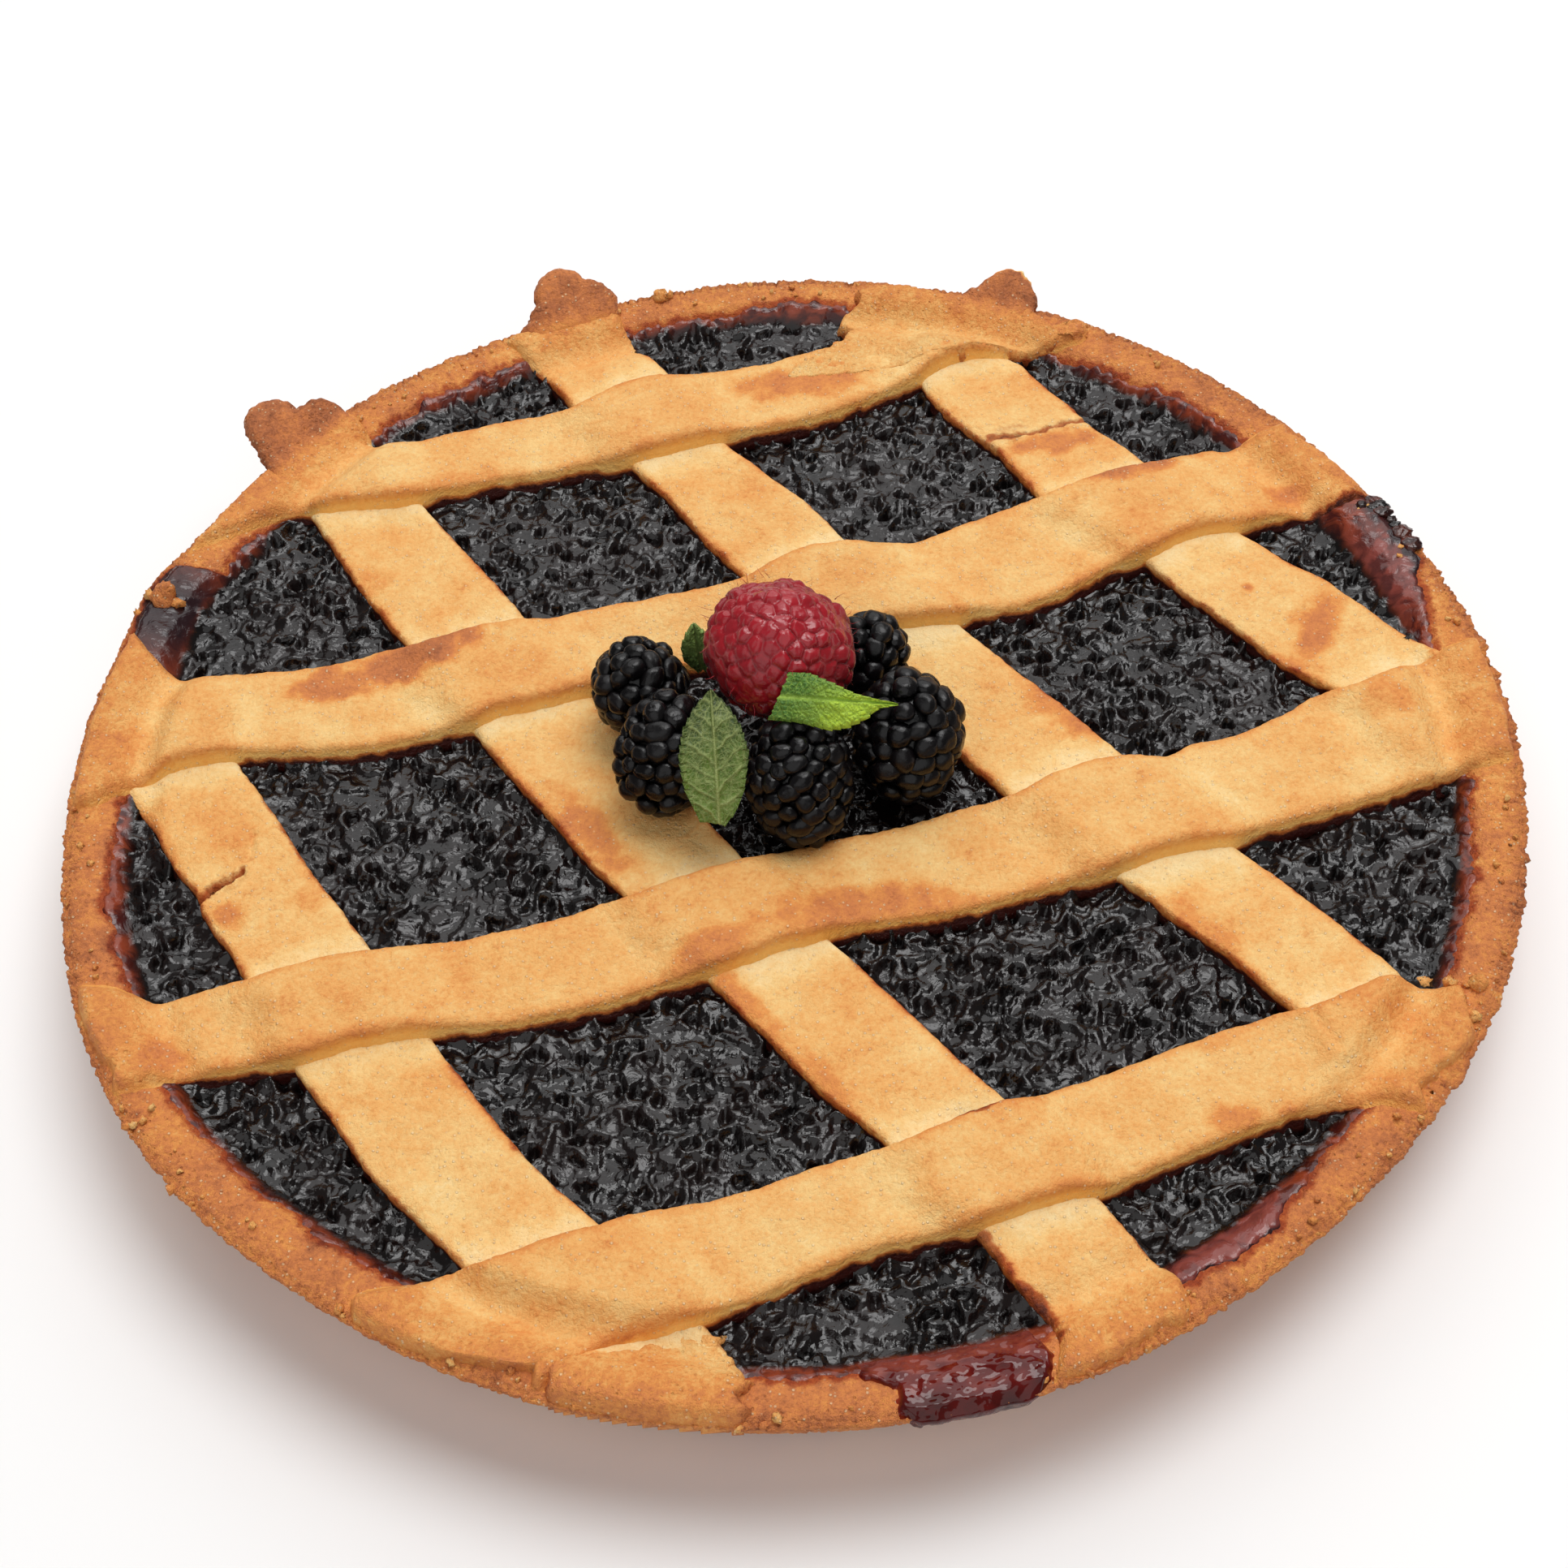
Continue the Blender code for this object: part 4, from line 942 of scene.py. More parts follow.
def make_pads():
    over_1 = next(o for o in STRIPS_OVER if o.number == 1)
    under_1 = next(o for o in STRIPS_UNDER if o.number == 1)
    for name, outline in PADS.items():
        tab = name.endswith("tab")
        seen = np.array(outline, float)
        true = to_level(seen, 24.2 + (4.0 * step(116, 130, np.hypot(*seen.T)) if tab else 0.6) + 0 * seen[:, 0])
        pitch = 0.44 * COARSE
        xs = np.arange(true[:, 0].min() - 1.2, true[:, 0].max() + 1.2, pitch)
        ys = np.arange(true[:, 1].min() - 1.2, true[:, 1].max() + 1.2, pitch)
        x, y = np.meshgrid(xs, ys, indexing="ij")
        sd = signed_distance(x, y, true) + 0.45 * noise(x / 2.1, y / 2.1, 301) + 0.22 * noise(x / 0.9, y / 0.9, 302)
        theta = np.arctan2(y, x)
        inward = rim_radius(theta) - np.hypot(x, y)
        grain = 0.15 * fbm(x / 2.2, y / 2.2, 303, 3) + 0.35 * fbm(x / 5.0, y / 5.0, 304, 2)
        w = inward / rim_width(theta)
        if tab:
            thick = 4.4
            dome = np.sqrt(np.clip(1 - (1 - np.clip(sd / 2.4, 0, 1)) ** 2, 0, 1))
            rise = step(6.5, -5.0, inward)
            middle = rim_height(theta) + 1.7 + 4.4 * rise + 1.5 * grain
            top = middle - thick / 2 * (1 - dome)
            under = middle - thick / 2 - thick / 2 * dome
            keep = sd > -0.25
            own = next(o for o in STRIPS_UNDER if o.number == int(name.split("_")[1]))
            inner = step(4.0, 7.5, inward)
            flat_top = strip_top(own, x, y) + 0.25 - 1.6 * step(1.5, -0.2, sd)
            top = mix(top, flat_top, inner)
            under = mix(under, flat_top - 2.0, inner)
            bake = 0.48 + 0.27 * step(6.5, 1.5, inward) + 0.13 * fbm(x / 4.2, y / 4.2, 305, 3) + 0.06 * step(1.6, 0.0, sd) * (1 - inner)
            if name == "under_4_tab":  # a floury edge
                bake = bake - 0.85 * step(1.5, 0.5, sd) * step(-1.0, -3.5, inward)
        else:
            s = over_1 if name.startswith("over") else under_1
            level = strip_top(s, x, y) + 0.10 + grain * 0.9 + (0.5 if s is under_1 else 0.15) * step(14, 4, inward) - 0.55 * crackle(x, y) * step(13, 6, inward)
            foot = np.maximum(shell_top(x, y), JAM_Z) - 0.6
            edge = step(-0.45, 0.55, sd) * step(-0.1, 0.5, inward)
            top = mix(foot, level, edge)
            under = foot - 0.4
            keep = (sd > -0.6) & (inward > -0.1)
            bake = mix(0.33, rim_bake(x, y, w) - 0.06, step(13, 3, inward)) + 0.10 * step(1.4, 0.0, sd) + 0.05 * fbm(x / 4, y / 4, 305, 3)
        stain = np.zeros(x.shape)
        if name == "over_1_torn":
            stain = 0.5 * step(0.4, -0.3, sd) * step(4, 8, inward)
        rows, columns = x.shape
        index = np.arange(rows * columns).reshape(rows, columns)
        quads = np.stack([index[:-1, :-1], index[1:, :-1], index[1:, 1:], index[:-1, 1:]], -1).reshape(-1, 4)
        quads = quads[keep.ravel()[quads].all(1)]
        used = np.unique(quads)
        lookup = np.full(rows * columns, -1)
        lookup[used] = np.arange(len(used))
        quads = lookup[quads]
        count = len(used)
        flat = np.stack([x, y, top], -1).reshape(-1, 3)[used]
        low = np.stack([x, y, under], -1).reshape(-1, 3)[used]
        paint = np.stack([np.clip(bake, 0, 1), stain, 0 * x, 0.4 + 0 * x], -1).reshape(-1, 4)[used]
        sides = np.concatenate([quads[:, [k, (k + 1) % 4]] for k in range(4)])
        pairs, found, times = np.unique(np.sort(sides, 1), axis=0, return_index=True, return_counts=True)
        border = sides[found[times == 1]]
        wall = np.stack([border[:, 1], border[:, 0], border[:, 0] + count, border[:, 1] + count], -1)
        mesh("pastry_" + name, np.concatenate([flat, low]), [quads, quads[:, ::-1] + count, wall], PASTRY, np.concatenate([paint, paint]))


# ------------------------------------------------------------------ berries

def berry_material(name, low, high, top_highlight_colour, roughness, spec, sheen=0.0):
    """Paint: red a random number for each drupelet, green how deep in a groove, where painted shade darkens it, blue
    the top of the berry, where a painted highlight colour is laid.
    """
    n = Nodes(name, roughness, Specular_IOR_Level=spec)
    if sheen:
        n.shader.inputs["Sheen Weight"].default_value = sheen
        n.shader.inputs["Sheen Roughness"].default_value = 0.4
    where = n.where()
    each, groove, top, alpha = n.paint()
    cloud = n.noise(260, 3, 0.6, where)
    colour = n.blend(n.ramp(n.add(each, n.centred(cloud, 0.5)), 0.1, 0.9), low, high)
    # painted highlight: the berry's upper side takes the lighter top colour
    colour = n.blend(n.times(top, 0.9), colour, top_highlight_colour)
    # painted shade: darker towards the grooves between drupelets
    colour = n.blend(n.times(groove, 0.8), colour, tuple(0.3 * c for c in low))
    skin = n.noise(1400, 3, 0.6, where)
    normal = n.bump(n.add(n.times(skin, 0.5), cloud), 0.35, 0.0004)
    return n.finish(colour, n.ramp(cloud, 0.3, 0.7, roughness - 0.08, roughness + 0.12), normal)


DARK_BERRY = berry_material("dark_drupelets", srgb(5, 4, 6), srgb(14, 10, 12), srgb(9, 8, 9), 0.24, 0.30)
# the red berry's top colour is a light pinkish red: a painted highlight on its upper side
RED_BERRY = berry_material("red_drupelets", srgb(80, 3, 6), srgb(128, 9, 15), srgb(178, 32, 46), 0.17, 0.5, 0.08)


def unit(v):
    v = np.asarray(v, float)
    return v / np.linalg.norm(v, axis=-1, keepdims=True)


def axes_of(lean):
    w = unit(lean)
    u = unit(np.cross(w, [0.31, 0.92, 0.22]))
    return np.stack([u, np.cross(w, u), w])


def spread(count, scale, seed, rounds=60):
    """Points spread evenly over an ellipsoid."""
    rng = np.random.default_rng(seed)
    k = np.arange(count) + 0.5
    phi = np.arccos(1 - 2 * k / count)
    turn = math.pi * (1 + 5**0.5) * k
    p = np.stack([np.cos(turn) * np.sin(phi), np.sin(turn) * np.sin(phi), np.cos(phi)], -1) + 0.12 * rng.normal(size=(count, 3))
    p = unit(p)
    for _ in range(rounds):
        q = p * scale
        d = q[:, None] - q[None]
        dist = np.linalg.norm(d, axis=-1) + 1e-6 + 1e3 * np.eye(count)
        push = (d / dist[..., None] ** 4).sum(1)
        length = np.linalg.norm(push, axis=-1, keepdims=True)
        p = unit((q + 0.06 * push / length.mean() * scale.mean() * 0.3) / scale)
    return p


def ball(rings, sides):
    points = [[0, 0, 1.0]]
    for i in range(1, rings):
        a = math.pi * i / rings
        for j in range(sides):
            b = PI2 * j / sides
            points.append([math.sin(a) * math.cos(b), math.sin(a) * math.sin(b), math.cos(a)])
    points.append([0, 0, -1.0])
    quads, tris = [], []
    last = len(points) - 1
    for j in range(sides):
        k = (j + 1) % sides
        tris.append((0, 1 + j, 1 + k))
        base = 1 + (rings - 2) * sides
        tris.append((last, base + k, base + j))
        for i in range(rings - 2):
            a, b = 1 + i * sides, 1 + (i + 1) * sides
            quads.append((a + j, b + j, b + k, a + k))
    return np.array(points), np.array(quads), np.array(tris)


def make_berry(node, surface, centre, half_width, half_length, lean, grain, seed, squash=0.0, detail=(11, 16), hairs=0):
    rng = np.random.default_rng(seed)
    frame_axes = axes_of(lean)
    scale = np.array([half_width, half_width, half_length]) - 0.55 * grain
    p_scale = scale.mean()
    count = int(4 * math.pi * p_scale**2 / (2.55 * grain**2))
    directions = spread(count, scale, seed)
    shape, quads, tris = ball(*detail)
    all_points, all_paint, all_quads, all_tris = [], [], [], []
    for i, d in enumerate(directions):
        at = d * scale * (1 - squash * (d[2] < 0) * abs(d[2]) * np.array([1, 1, 0]))
        normal = unit(d / scale)
        u = unit(np.cross(normal, [0.3, 0.2, 0.93]))
        v = np.cross(normal, u)
        size = grain * rng.uniform(0.80, 1.16)
        stretch = rng.uniform(0.90, 1.28)
        local = shape * np.array([size * stretch, size / stretch**0.5, size * rng.uniform(0.72, 0.90)])
        # a small dimple at the top of each drupelet, and a slightly lumpy skin
        dimple = 0.10 * size * np.exp(-(((1 - shape[:, 2]) / 0.035) ** 2)) * (rng.uniform() < 0.6)
        local = local + 0.05 * size * np.sin(3.4 * shape[:, [1, 2, 0]] + rng.uniform(0, 6, 3)) + 0.022 * size * np.sin(7.5 * shape[:, [2, 0, 1]] + rng.uniform(0, 6, 3))
        local[:, 2] -= dimple
        offset = rng.normal(size=2) * 0.10 * grain
        placed = at + rng.normal() * 0.07 * grain * normal + local[:, 0:1] * u + local[:, 1:2] * v + local[:, 2:3] * normal + offset[0] * u + offset[1] * v
        start = sum(len(q) for q in all_points)
        all_points.append(placed)
        # painted highlight: how much of the lighter top colour each drupelet on the upper side takes
        top = step(0.2, 1.0, float((frame_axes.T @ d)[2])) * 0.7
        # painted shade: the underside of each drupelet, where it meets the others, is marked as groove and darkened
        all_paint.append(np.stack([np.full(len(shape), rng.uniform()), step(0.55, -0.1, shape[:, 2]), np.full(len(shape), top)], -1))
        all_quads.append(quads + start)
        all_tris.append(tris + start)
    core = shape * (scale - 0.15 * grain)
    start = sum(len(q) for q in all_points)
    all_points.append(core)
    # painted shade: the core that fills the gaps is painted as dark as the deepest groove
    all_paint.append(np.tile([0.2, 1.0, 0.0], (len(core), 1)))
    all_quads.append(quads + start)
    all_tris.append(tris + start)
    for _ in range(hairs):
        d = unit(rng.normal(size=3) + np.array([0, 0, 0.3]))
        root = d * (scale + 0.35 * grain)
        tip = root + d * rng.uniform(0.8, 1.8) + rng.normal(size=3) * 0.45
        mid = (root + tip) / 2 + rng.normal(size=3) * 0.3
        ring = []
        for q, width in ((root, 0.055), (mid, 0.045), (tip, 0.012)):
            u = unit(np.cross(d, [0.1, 0.7, 0.7]))
            v = np.cross(d, u)
            ring += [q + width * (math.cos(a) * u + math.sin(a) * v) for a in (0, 2.094, 4.189)]
        start = sum(len(q) for q in all_points)
        all_points.append(np.array(ring))
        all_paint.append(np.tile([1.0, 0.0, 1.0], (9, 1)))
        all_quads.append(np.array([(a + j, a + (j + 1) % 3, a + 3 + (j + 1) % 3, a + 3 + j) for a in (0, 3) for j in range(3)]) + start)
        all_tris.append(np.array([(6, 7, 8), (2, 1, 0)]) + start)
    points = np.concatenate(all_points) @ frame_axes + np.asarray(centre)
    return mesh("fruit_" + node, points, [np.concatenate(all_quads), np.concatenate(all_tris)], surface, np.concatenate(all_paint), node=node)


def make_cushion_berry(node, surface, centre, scale, lean, grain, seed, hairs):
    """A berry whose drupelets have grown together: low cushions with fine seams between them, and hairs."""
    rng = np.random.default_rng(seed)
    frame_axes = axes_of(lean)
    scale = np.array(scale, float)
    count = int(4 * math.pi * scale.mean() ** 2 / (3.0 * grain**2))
    seeds = spread(count, scale, seed) * scale
    shape, quads, tris = ball(120, 170)
    taper = 1 - 0.13 * step(0.15, 1.0, shape[:, 2:3]) - 0.03 * step(0.3, -0.9, shape[:, 2:3])
    body = shape * scale * np.where([True, True, False], taper, 1.0)
    wander = body + 0.16 * np.stack([noise(body[:, 0] / 1.3, body[:, 1] / 1.3 + body[:, 2], 401 + k) for k in range(3)], -1)
    d = np.linalg.norm(wander[:, None, :] - seeds[None], axis=-1)
    order = np.argpartition(d, 2, axis=1)[:, :3]
    near = np.take_along_axis(d, order, 1)
    rank = np.argsort(near, 1)
    near = np.take_along_axis(near, rank, 1)
    which = np.take_along_axis(order, rank, 1)[:, 0]
    seam = (near[:, 1] - near[:, 0]) / grain
    own = rng.uniform(size=count)
    up = rng.uniform(-0.14, 0.20, size=count)
    cushion = np.sqrt(np.clip(1 - (1 - np.clip(seam / 1.15, 0, 1)) ** 2, 0, 1))
    merged = step(-0.35, 0.35, noise(body[:, 0] / 4.6 + 3, body[:, 1] / 4.6 + body[:, 2] / 3.9, 415))
    cushion = cushion * mix(0.55, 1.15, merged)
    rise = grain * (0.40 * cushion + up[which] * cushion) + 0.10 * noise(body[:, 0] / 0.9, body[:, 1] / 0.9 + body[:, 2] / 0.7, 411)
    rise = rise + 0.45 * noise(body[:, 0] / 6, body[:, 1] / 6 + body[:, 2] / 6, 412)
    normal = unit(shape / scale)
    points = body + (rise - 0.45 * grain)[:, None] * normal
    # painted highlight: the upper side, turned a little towards the front, gets the light top colour
    top = np.clip((shape @ unit([0.1, -0.1, 1.0])) * 0.5 + 0.45, 0, 1)
    # painted shade: darker along the seams between the cushions
    paint = np.stack([own[which], 0.40 * step(0.26, 0.0, seam) * mix(0.4, 1.0, merged), 0.85 * top**1.5], -1)
    all_points, all_paint, all_quads, all_tris = [points], [paint], [quads], [tris]
    for _ in range(hairs):
        way = unit(rng.normal(size=3) + np.array([0, 0, 0.3]))
        root = way * (scale + 0.1 * grain)
        tip = root + way * rng.uniform(0.7, 1.6) + rng.normal(size=3) * 0.6
        mid = (root + tip) / 2 + rng.normal(size=3) * 0.3
        ring = []
        for q, wide in ((root, 0.06), (mid, 0.045), (tip, 0.015)):
            u = unit(np.cross(way, [0.1, 0.7, 0.7]))
            v = np.cross(way, u)
            ring += [q + wide * (math.cos(a) * u + math.sin(a) * v) for a in (0, 2.094, 4.189)]
        start = sum(len(q) for q in all_points)
        all_points.append(np.array(ring))
        all_paint.append(np.tile([1.0, 0.0, 1.0], (9, 1)))
        all_quads.append(np.array([(a + j, a + (j + 1) % 3, a + 3 + (j + 1) % 3, a + 3 + j) for a in (0, 3) for j in range(3)]) + start)
        all_tris.append(np.array([(6, 7, 8), (2, 1, 0)]) + start)
    points = np.concatenate(all_points) @ frame_axes + np.asarray(centre)
    return mesh("fruit_" + node, points, [np.concatenate(all_quads), np.concatenate(all_tris)], surface, np.concatenate(all_paint), node=node)


BERRIES = [
    ("dark_berry_1", (-24.2, 9.7, 32.2), 8.2, 8.7, (0.3, -0.2, 1), 1.95, 5),
    ("dark_berry_2", (-19.9, -6.3, 33.2), 7.9, 11.0, (0.22, 0.55, 0.8), 2.05, 6),
    ("dark_berry_3", (2.6, -12.2, 31.4), 8.9, 11.6, (-0.05, 0.5, 0.85), 2.0, 7),
    ("dark_berry_4", (21.3, -4.0, 31.4), 9.3, 11.2, (0.1, 0.45, 0.9), 2.25, 8),
    ("dark_berry_5", (15.7, 15.4, 30.4), 7.2, 7.8, (0.2, 0.2, 0.95), 2.0, 9),
]


# ------------------------------------------------------------------ leaves

def leaf_material(name, deep, bright, vein):
    """Paint: red veins, green how bright, blue quilting; where the quilting is low the colour gets painted shade."""
    n = Nodes(name, 0.5, Specular_IOR_Level=0.35)
    where = n.where()
    veins, light, quilt, alpha = n.paint()
    cloud = n.noise(420, 3, 0.6, where)
    colour = n.blend(n.ramp(n.add(light, n.centred(cloud, 0.35)), 0.0, 1.0), deep, bright)
    net = n.ramp(n.voronoi(1150, "DISTANCE_TO_EDGE", where), 0.12, 0.02)
    # painted shade: darker where the quilting is low, which on the upper side are the creases between the puckers
    colour = n.blend(n.times(n.math("SUBTRACT", 1.0, quilt), 0.35), colour, tuple(0.45 * c for c in deep))
    colour = n.blend(n.times(net, 0.35), colour, vein)
    colour = n.blend(n.times(veins, 0.85), colour, vein)
    normal = n.bump(n.add(n.times(net, -0.6), n.times(cloud, 0.4)), 0.5, 0.0004)
    return n.finish(colour, None, normal)


LEAF_TOP = leaf_material("leaf_upper_side", srgb(68, 112, 38), srgb(182, 212, 58), srgb(170, 202, 86))
LEAF_BACK = leaf_material("leaf_behind", srgb(78, 112, 54), srgb(136, 164, 84), srgb(136, 160, 92))
LEAF_UNDER = leaf_material("leaf_underside", srgb(36, 55, 18), srgb(92, 118, 35), srgb(152, 163, 98))


def make_leaf(node, surface, base, tip, facing, left, right, arch, underside=False, teeth=13, slant=0.0, curl=0.0, droop=0.0, seed=1, fine=1.0):
    rows, columns = int(112 * fine / COARSE), int(61 * fine / COARSE)
    base, tip = np.array(base, float), np.array(tip, float)
    axis = tip - base
    length = np.linalg.norm(axis)
    axis /= length
    normal = unit(np.array(facing, float) - np.dot(facing, axis) * axis)
    side = np.cross(axis, normal)
    s, t = np.meshgrid(np.linspace(0, 1, rows), np.linspace(-1, 1, columns), indexing="ij")
    width = max(v for _, v in left) + max(v for _, v in right)

    def profile(table):
        at = np.linspace(-0.1, 1.1, 241)
        raw = np.interp(at, [q[0] for q in table], [q[1] for q in table])
        soft = np.convolve(raw, np.ones(13) / 13, "same")
        return np.interp(s, at, np.where((at < 0.03) | (at > 0.97), raw, soft))

    half = np.where(t < 0, profile(left), profile(right))
    body = half / (width / 2)
    saw = (s * teeth) % 1.0
    tooth = 1 + 0.06 * (saw - 0.5) * step(0.02, 0.2, s) * step(1.0, 0.93, s)
    wide = half * np.where(np.abs(t) > 0.8, tooth, 1.0)
    across = t * wide
    lead = s * length + 0.4 * np.abs(t) * (saw - 0.5) * (np.abs(t) > 0.8) + slant * across * step(0.35, 0.0, s)
    lead = lead + 0.25 * noise(t * 6, 0 * s, 189 + seed) * step(0.06, 0.0, s)
    a = np.abs(across)
    wx, wy = across + 0.35 * noise(across / 1.4, lead / 1.4, 185 + seed), lead + 0.35 * noise(across / 1.4 + 9, lead / 1.4, 186 + seed)
    veins_at = (s * 7.0 - a / width * 2.8 + 0.35 * np.sign(t) * 0.5 + 0.22 * noise(across / 2.2, lead / 2.2, 187 + seed))
    rib = np.exp(-((np.abs((veins_at + 0.5) % 1.0 - 0.5) / 0.075) ** 2)) * step(0.0, 0.5, a) * step(1.0, 0.75, np.abs(t))
    d1, d2, _ = cells(wx / 1.9, wy / 1.9, 211 + seed)
    e1, e2, _ = cells(wx / 0.85, wy / 0.85, 221 + seed)
    net = np.exp(-(((d2 - d1) / 0.11) ** 2))
    small = np.exp(-(((e2 - e1) / 0.16) ** 2))
    inside = step(1.0, 0.86, np.abs(t))
    vein = np.maximum(rib, np.maximum(0.75 * net, 0.45 * small)) * inside
    mid = np.exp(-((a / mix(0.42, 0.16, s)) ** 2))
    pillow = 1 - np.maximum(0.9 * rib, np.maximum(0.7 * net, 0.75 * small))
    quilt = pillow * (1 - mid) * inside
    sign = -1.0 if underside else 1.0
    relief = 0.46 * (quilt - 0.25) - 0.30 * mid
    if underside:
        relief = -0.22 * quilt + 0.36 * mid + 0.16 * rib
    bend = 4 * arch * s * (1 - s)
    cup = 0.13 * width * (np.abs(t) ** 1.8) * body
    height = bend + relief - cup * (0.6 if not underside else -0.25) + curl * (s - 0.5) * across + 0.35 * noise(s * 6, t * 2, 193 + seed)
    height = height - droop * step(0.55, 1.0, s) ** 1.5
    top = base + lead[..., None] * axis + across[..., None] * side + height[..., None] * normal
    bottom = top - 0.32 * normal
    light = np.clip(0.02 + 0.95 * step(0.05, 0.75, s + 0.15 * t) + 0.2 * noise(s * 5, t * 3, 197), 0, 1) if not underside else np.clip(0.95 - 0.8 * s + 0.2 * noise(s * 5, t * 3, 198), 0, 1)
    paint = np.stack([np.clip(np.maximum(mid, (0.9 if underside else 0.25) * vein), 0, 1), light, np.clip(0.25 + quilt, 0, 1)], -1)
    points = np.concatenate([top.reshape(-1, 3), bottom.reshape(-1, 3)])
    faces = grid_faces(rows, columns)
    count = rows * columns
    ring = np.concatenate([np.arange(columns), np.arange(1, rows) * columns + columns - 1,
                           (rows - 1) * columns + np.arange(columns - 2, -1, -1), np.arange(rows - 2, 0, -1) * columns])
    following = np.roll(ring, -1)
    border = np.stack([ring, following, following + count, ring + count], -1)
    paint = np.concatenate([paint.reshape(-1, 3), paint.reshape(-1, 3)])
    return mesh("herb_" + node, points, [faces, faces[:, ::-1] + count, border[:, ::-1]], surface, paint, node=node)


# ------------------------------------------------------------------ syrup over the front rim, crumbs

def make_overflow():
    """Syrup that has run over the rim at the front and down the wall."""
    columns, rows = int(165 / COARSE), int(104 / COARSE)
    theta, s = np.meshgrid(np.radians(np.linspace(-87.5, -70.5, columns)), np.linspace(-10.5, 7.5, rows), indexing="ij")
    deg = np.degrees(theta)
    wave = 1.1 * noise(deg * 0.75, s / 3.4, 201) + 0.6 * noise(deg * 1.9, s / 1.5, 202)
    left = mix(-84.8, -83.8, step(-5, 3, s)) - 2.6 * step(-4.6, -8.0, s)
    right = mix(-73.0, -74.9, step(-4, 2, s))
    run = 5.4 - 2.6 * step(-77, -73.5, deg) + 1.5 * noise(deg * 0.42, 0 * s, 203) + 0.8 * noise(deg * 1.3, 0 * s, 204)
    inside = np.minimum(np.minimum((deg - left) * 2.1, (right - deg) * 2.1), run - s) + wave
    amount = step(-0.6, 2.2, inside)
    radius = rim_radius(theta)
    height = rim_height(theta)
    over = np.minimum(s, 0)
    r_top = radius + over - 0.2
    z_top = shell_top(r_top * np.cos(theta), r_top * np.sin(theta)) + 0.1
    down = np.maximum(s, 0)
    w = 1 - down / (height - 1.0)
    r_wall = mix(BASE_R + 0.4, radius - 0.2, np.clip(w, 0, 1) ** 0.94) + 0.45 * np.sin(math.pi * np.clip(w, 0, 1))
    bend = step(-0.8, 0.8, s)
    lift = 0.80 * amount - 0.55 * (1 - amount) + 0.75 * fbm(deg * 0.42, s / 3.4, 205, 3) * amount
    lift = lift + 0.25 * step(2.4, 0.6, inside) * amount * step(0, 2.5, s)
    nr = mix(0.1, 0.95, bend)
    nz = mix(1.0, 0.12, bend)
    r = mix(r_top, r_wall, bend) + lift * nr
    z = mix(z_top, height - 0.9 - down, bend) + lift * nz
    points = np.stack([r * np.cos(theta), r * np.sin(theta), z], -1).reshape(-1, 3)
    thin = 0.26 + 0.36 * step(1.2, 0.0, inside) + 0.28 * noise(deg * 0.5, s / 4, 207) + 0.22 * step(0.0, -4.0, s)
    cloudy = step(-5.6, -8.0, s + 2.2 * noise(deg * 0.5, s / 2, 208)) * 0.62
    paint = np.stack([thin, cloudy, 0 * z], -1).reshape(-1, 3)
    faces = grid_faces(columns, rows)
    wanted = (amount.reshape(-1)[faces] > 0.02).any(1)
    faces = faces[wanted]
    used = np.unique(faces)
    lookup = np.full(columns * rows, -1)
    lookup[used] = np.arange(len(used))
    return mesh("syrup_overflow", points[used], lookup[faces], SYRUP, paint[used])


def syrup_material():
    n = Nodes("syrup", 0.09, Specular_IOR_Level=0.38)
    where = n.where()
    thin, cloudy, blue, alpha = n.paint()
    patch = n.noise(300, 3, 0.6, where)
    colour = n.colours(n.add(thin, n.centred(patch, 0.5)), [(0.0, srgb(44, 5, 4)), (0.5, srgb(92, 13, 9)), (1.0, srgb(158, 58, 32))])
    colour = n.blend(n.ramp(n.add(cloudy, n.centred(n.noise(300, 3, 0.6, where), 0.5)), 0.3, 0.9), colour, srgb(142, 70, 58))
    normal = n.bump(n.noise(230, 2, 0.45, where, 0.7), 0.48, 0.0014)
    return n.finish(colour, n.ramp(patch, 0.3, 0.7, 0.05, 0.12), normal)


SYRUP = syrup_material()


def make_burnt_jam():
    """Jam that has boiled over the outer edge beside the second over strip."""
    rng = np.random.default_rng(31)
    shape, quads, tris = ball(14, 20)
    all_points, all_paint, all_quads, all_tris = [], [], [], []
    places = [(112.0, 52.8, 1.3), (113.4, 51.6, 1.6), (113.2, 49.8, 1.2), (114.4, 48.0, 0.9), (115.0, 46.2, 1.1), (115.6, 44.6, 1.5), (116.2, 43.0, 0.9), (116.8, 41.2, 1.4), (109.6, 51.8, 1.0)]
    for k, (x, y, size) in enumerate(places):
        theta = np.array([math.atan2(y, x)])
        limit = float(rim_radius(theta)[0]) - 0.9
        r = min(math.hypot(x, y), limit)
        x, y = r * math.cos(theta[0]), r * math.sin(theta[0])
        z = float(shell_top(np.array([x]), np.array([y]))[0]) + 0.2 + 0.1 * size
        lumpy = 1 + 0.30 * noise(shape[:, 0] * 1.7 + 7 * k, shape[:, 1] * 1.7 + shape[:, 2] * 1.3, 501) + 0.12 * noise(shape[:, 0] * 4 + 7 * k, shape[:, 1] * 4 + shape[:, 2] * 3, 502)
        start = sum(len(q) for q in all_points)
        all_points.append(shape * lumpy[:, None] * size * np.array([rng.uniform(1.0, 1.5), rng.uniform(1.0, 1.5), 0.55]) + np.array([x, y, z]))
        all_paint.append(np.tile([rng.uniform(0.3, 0.6), rng.uniform(0.1, 0.4), 0.0], (len(shape), 1)))
        all_quads.append(quads + start)
        all_tris.append(tris + start)
    return mesh("jam_boiled_over", np.concatenate(all_points), [np.concatenate(all_quads), np.concatenate(all_tris)], JAM, np.concatenate(all_paint))


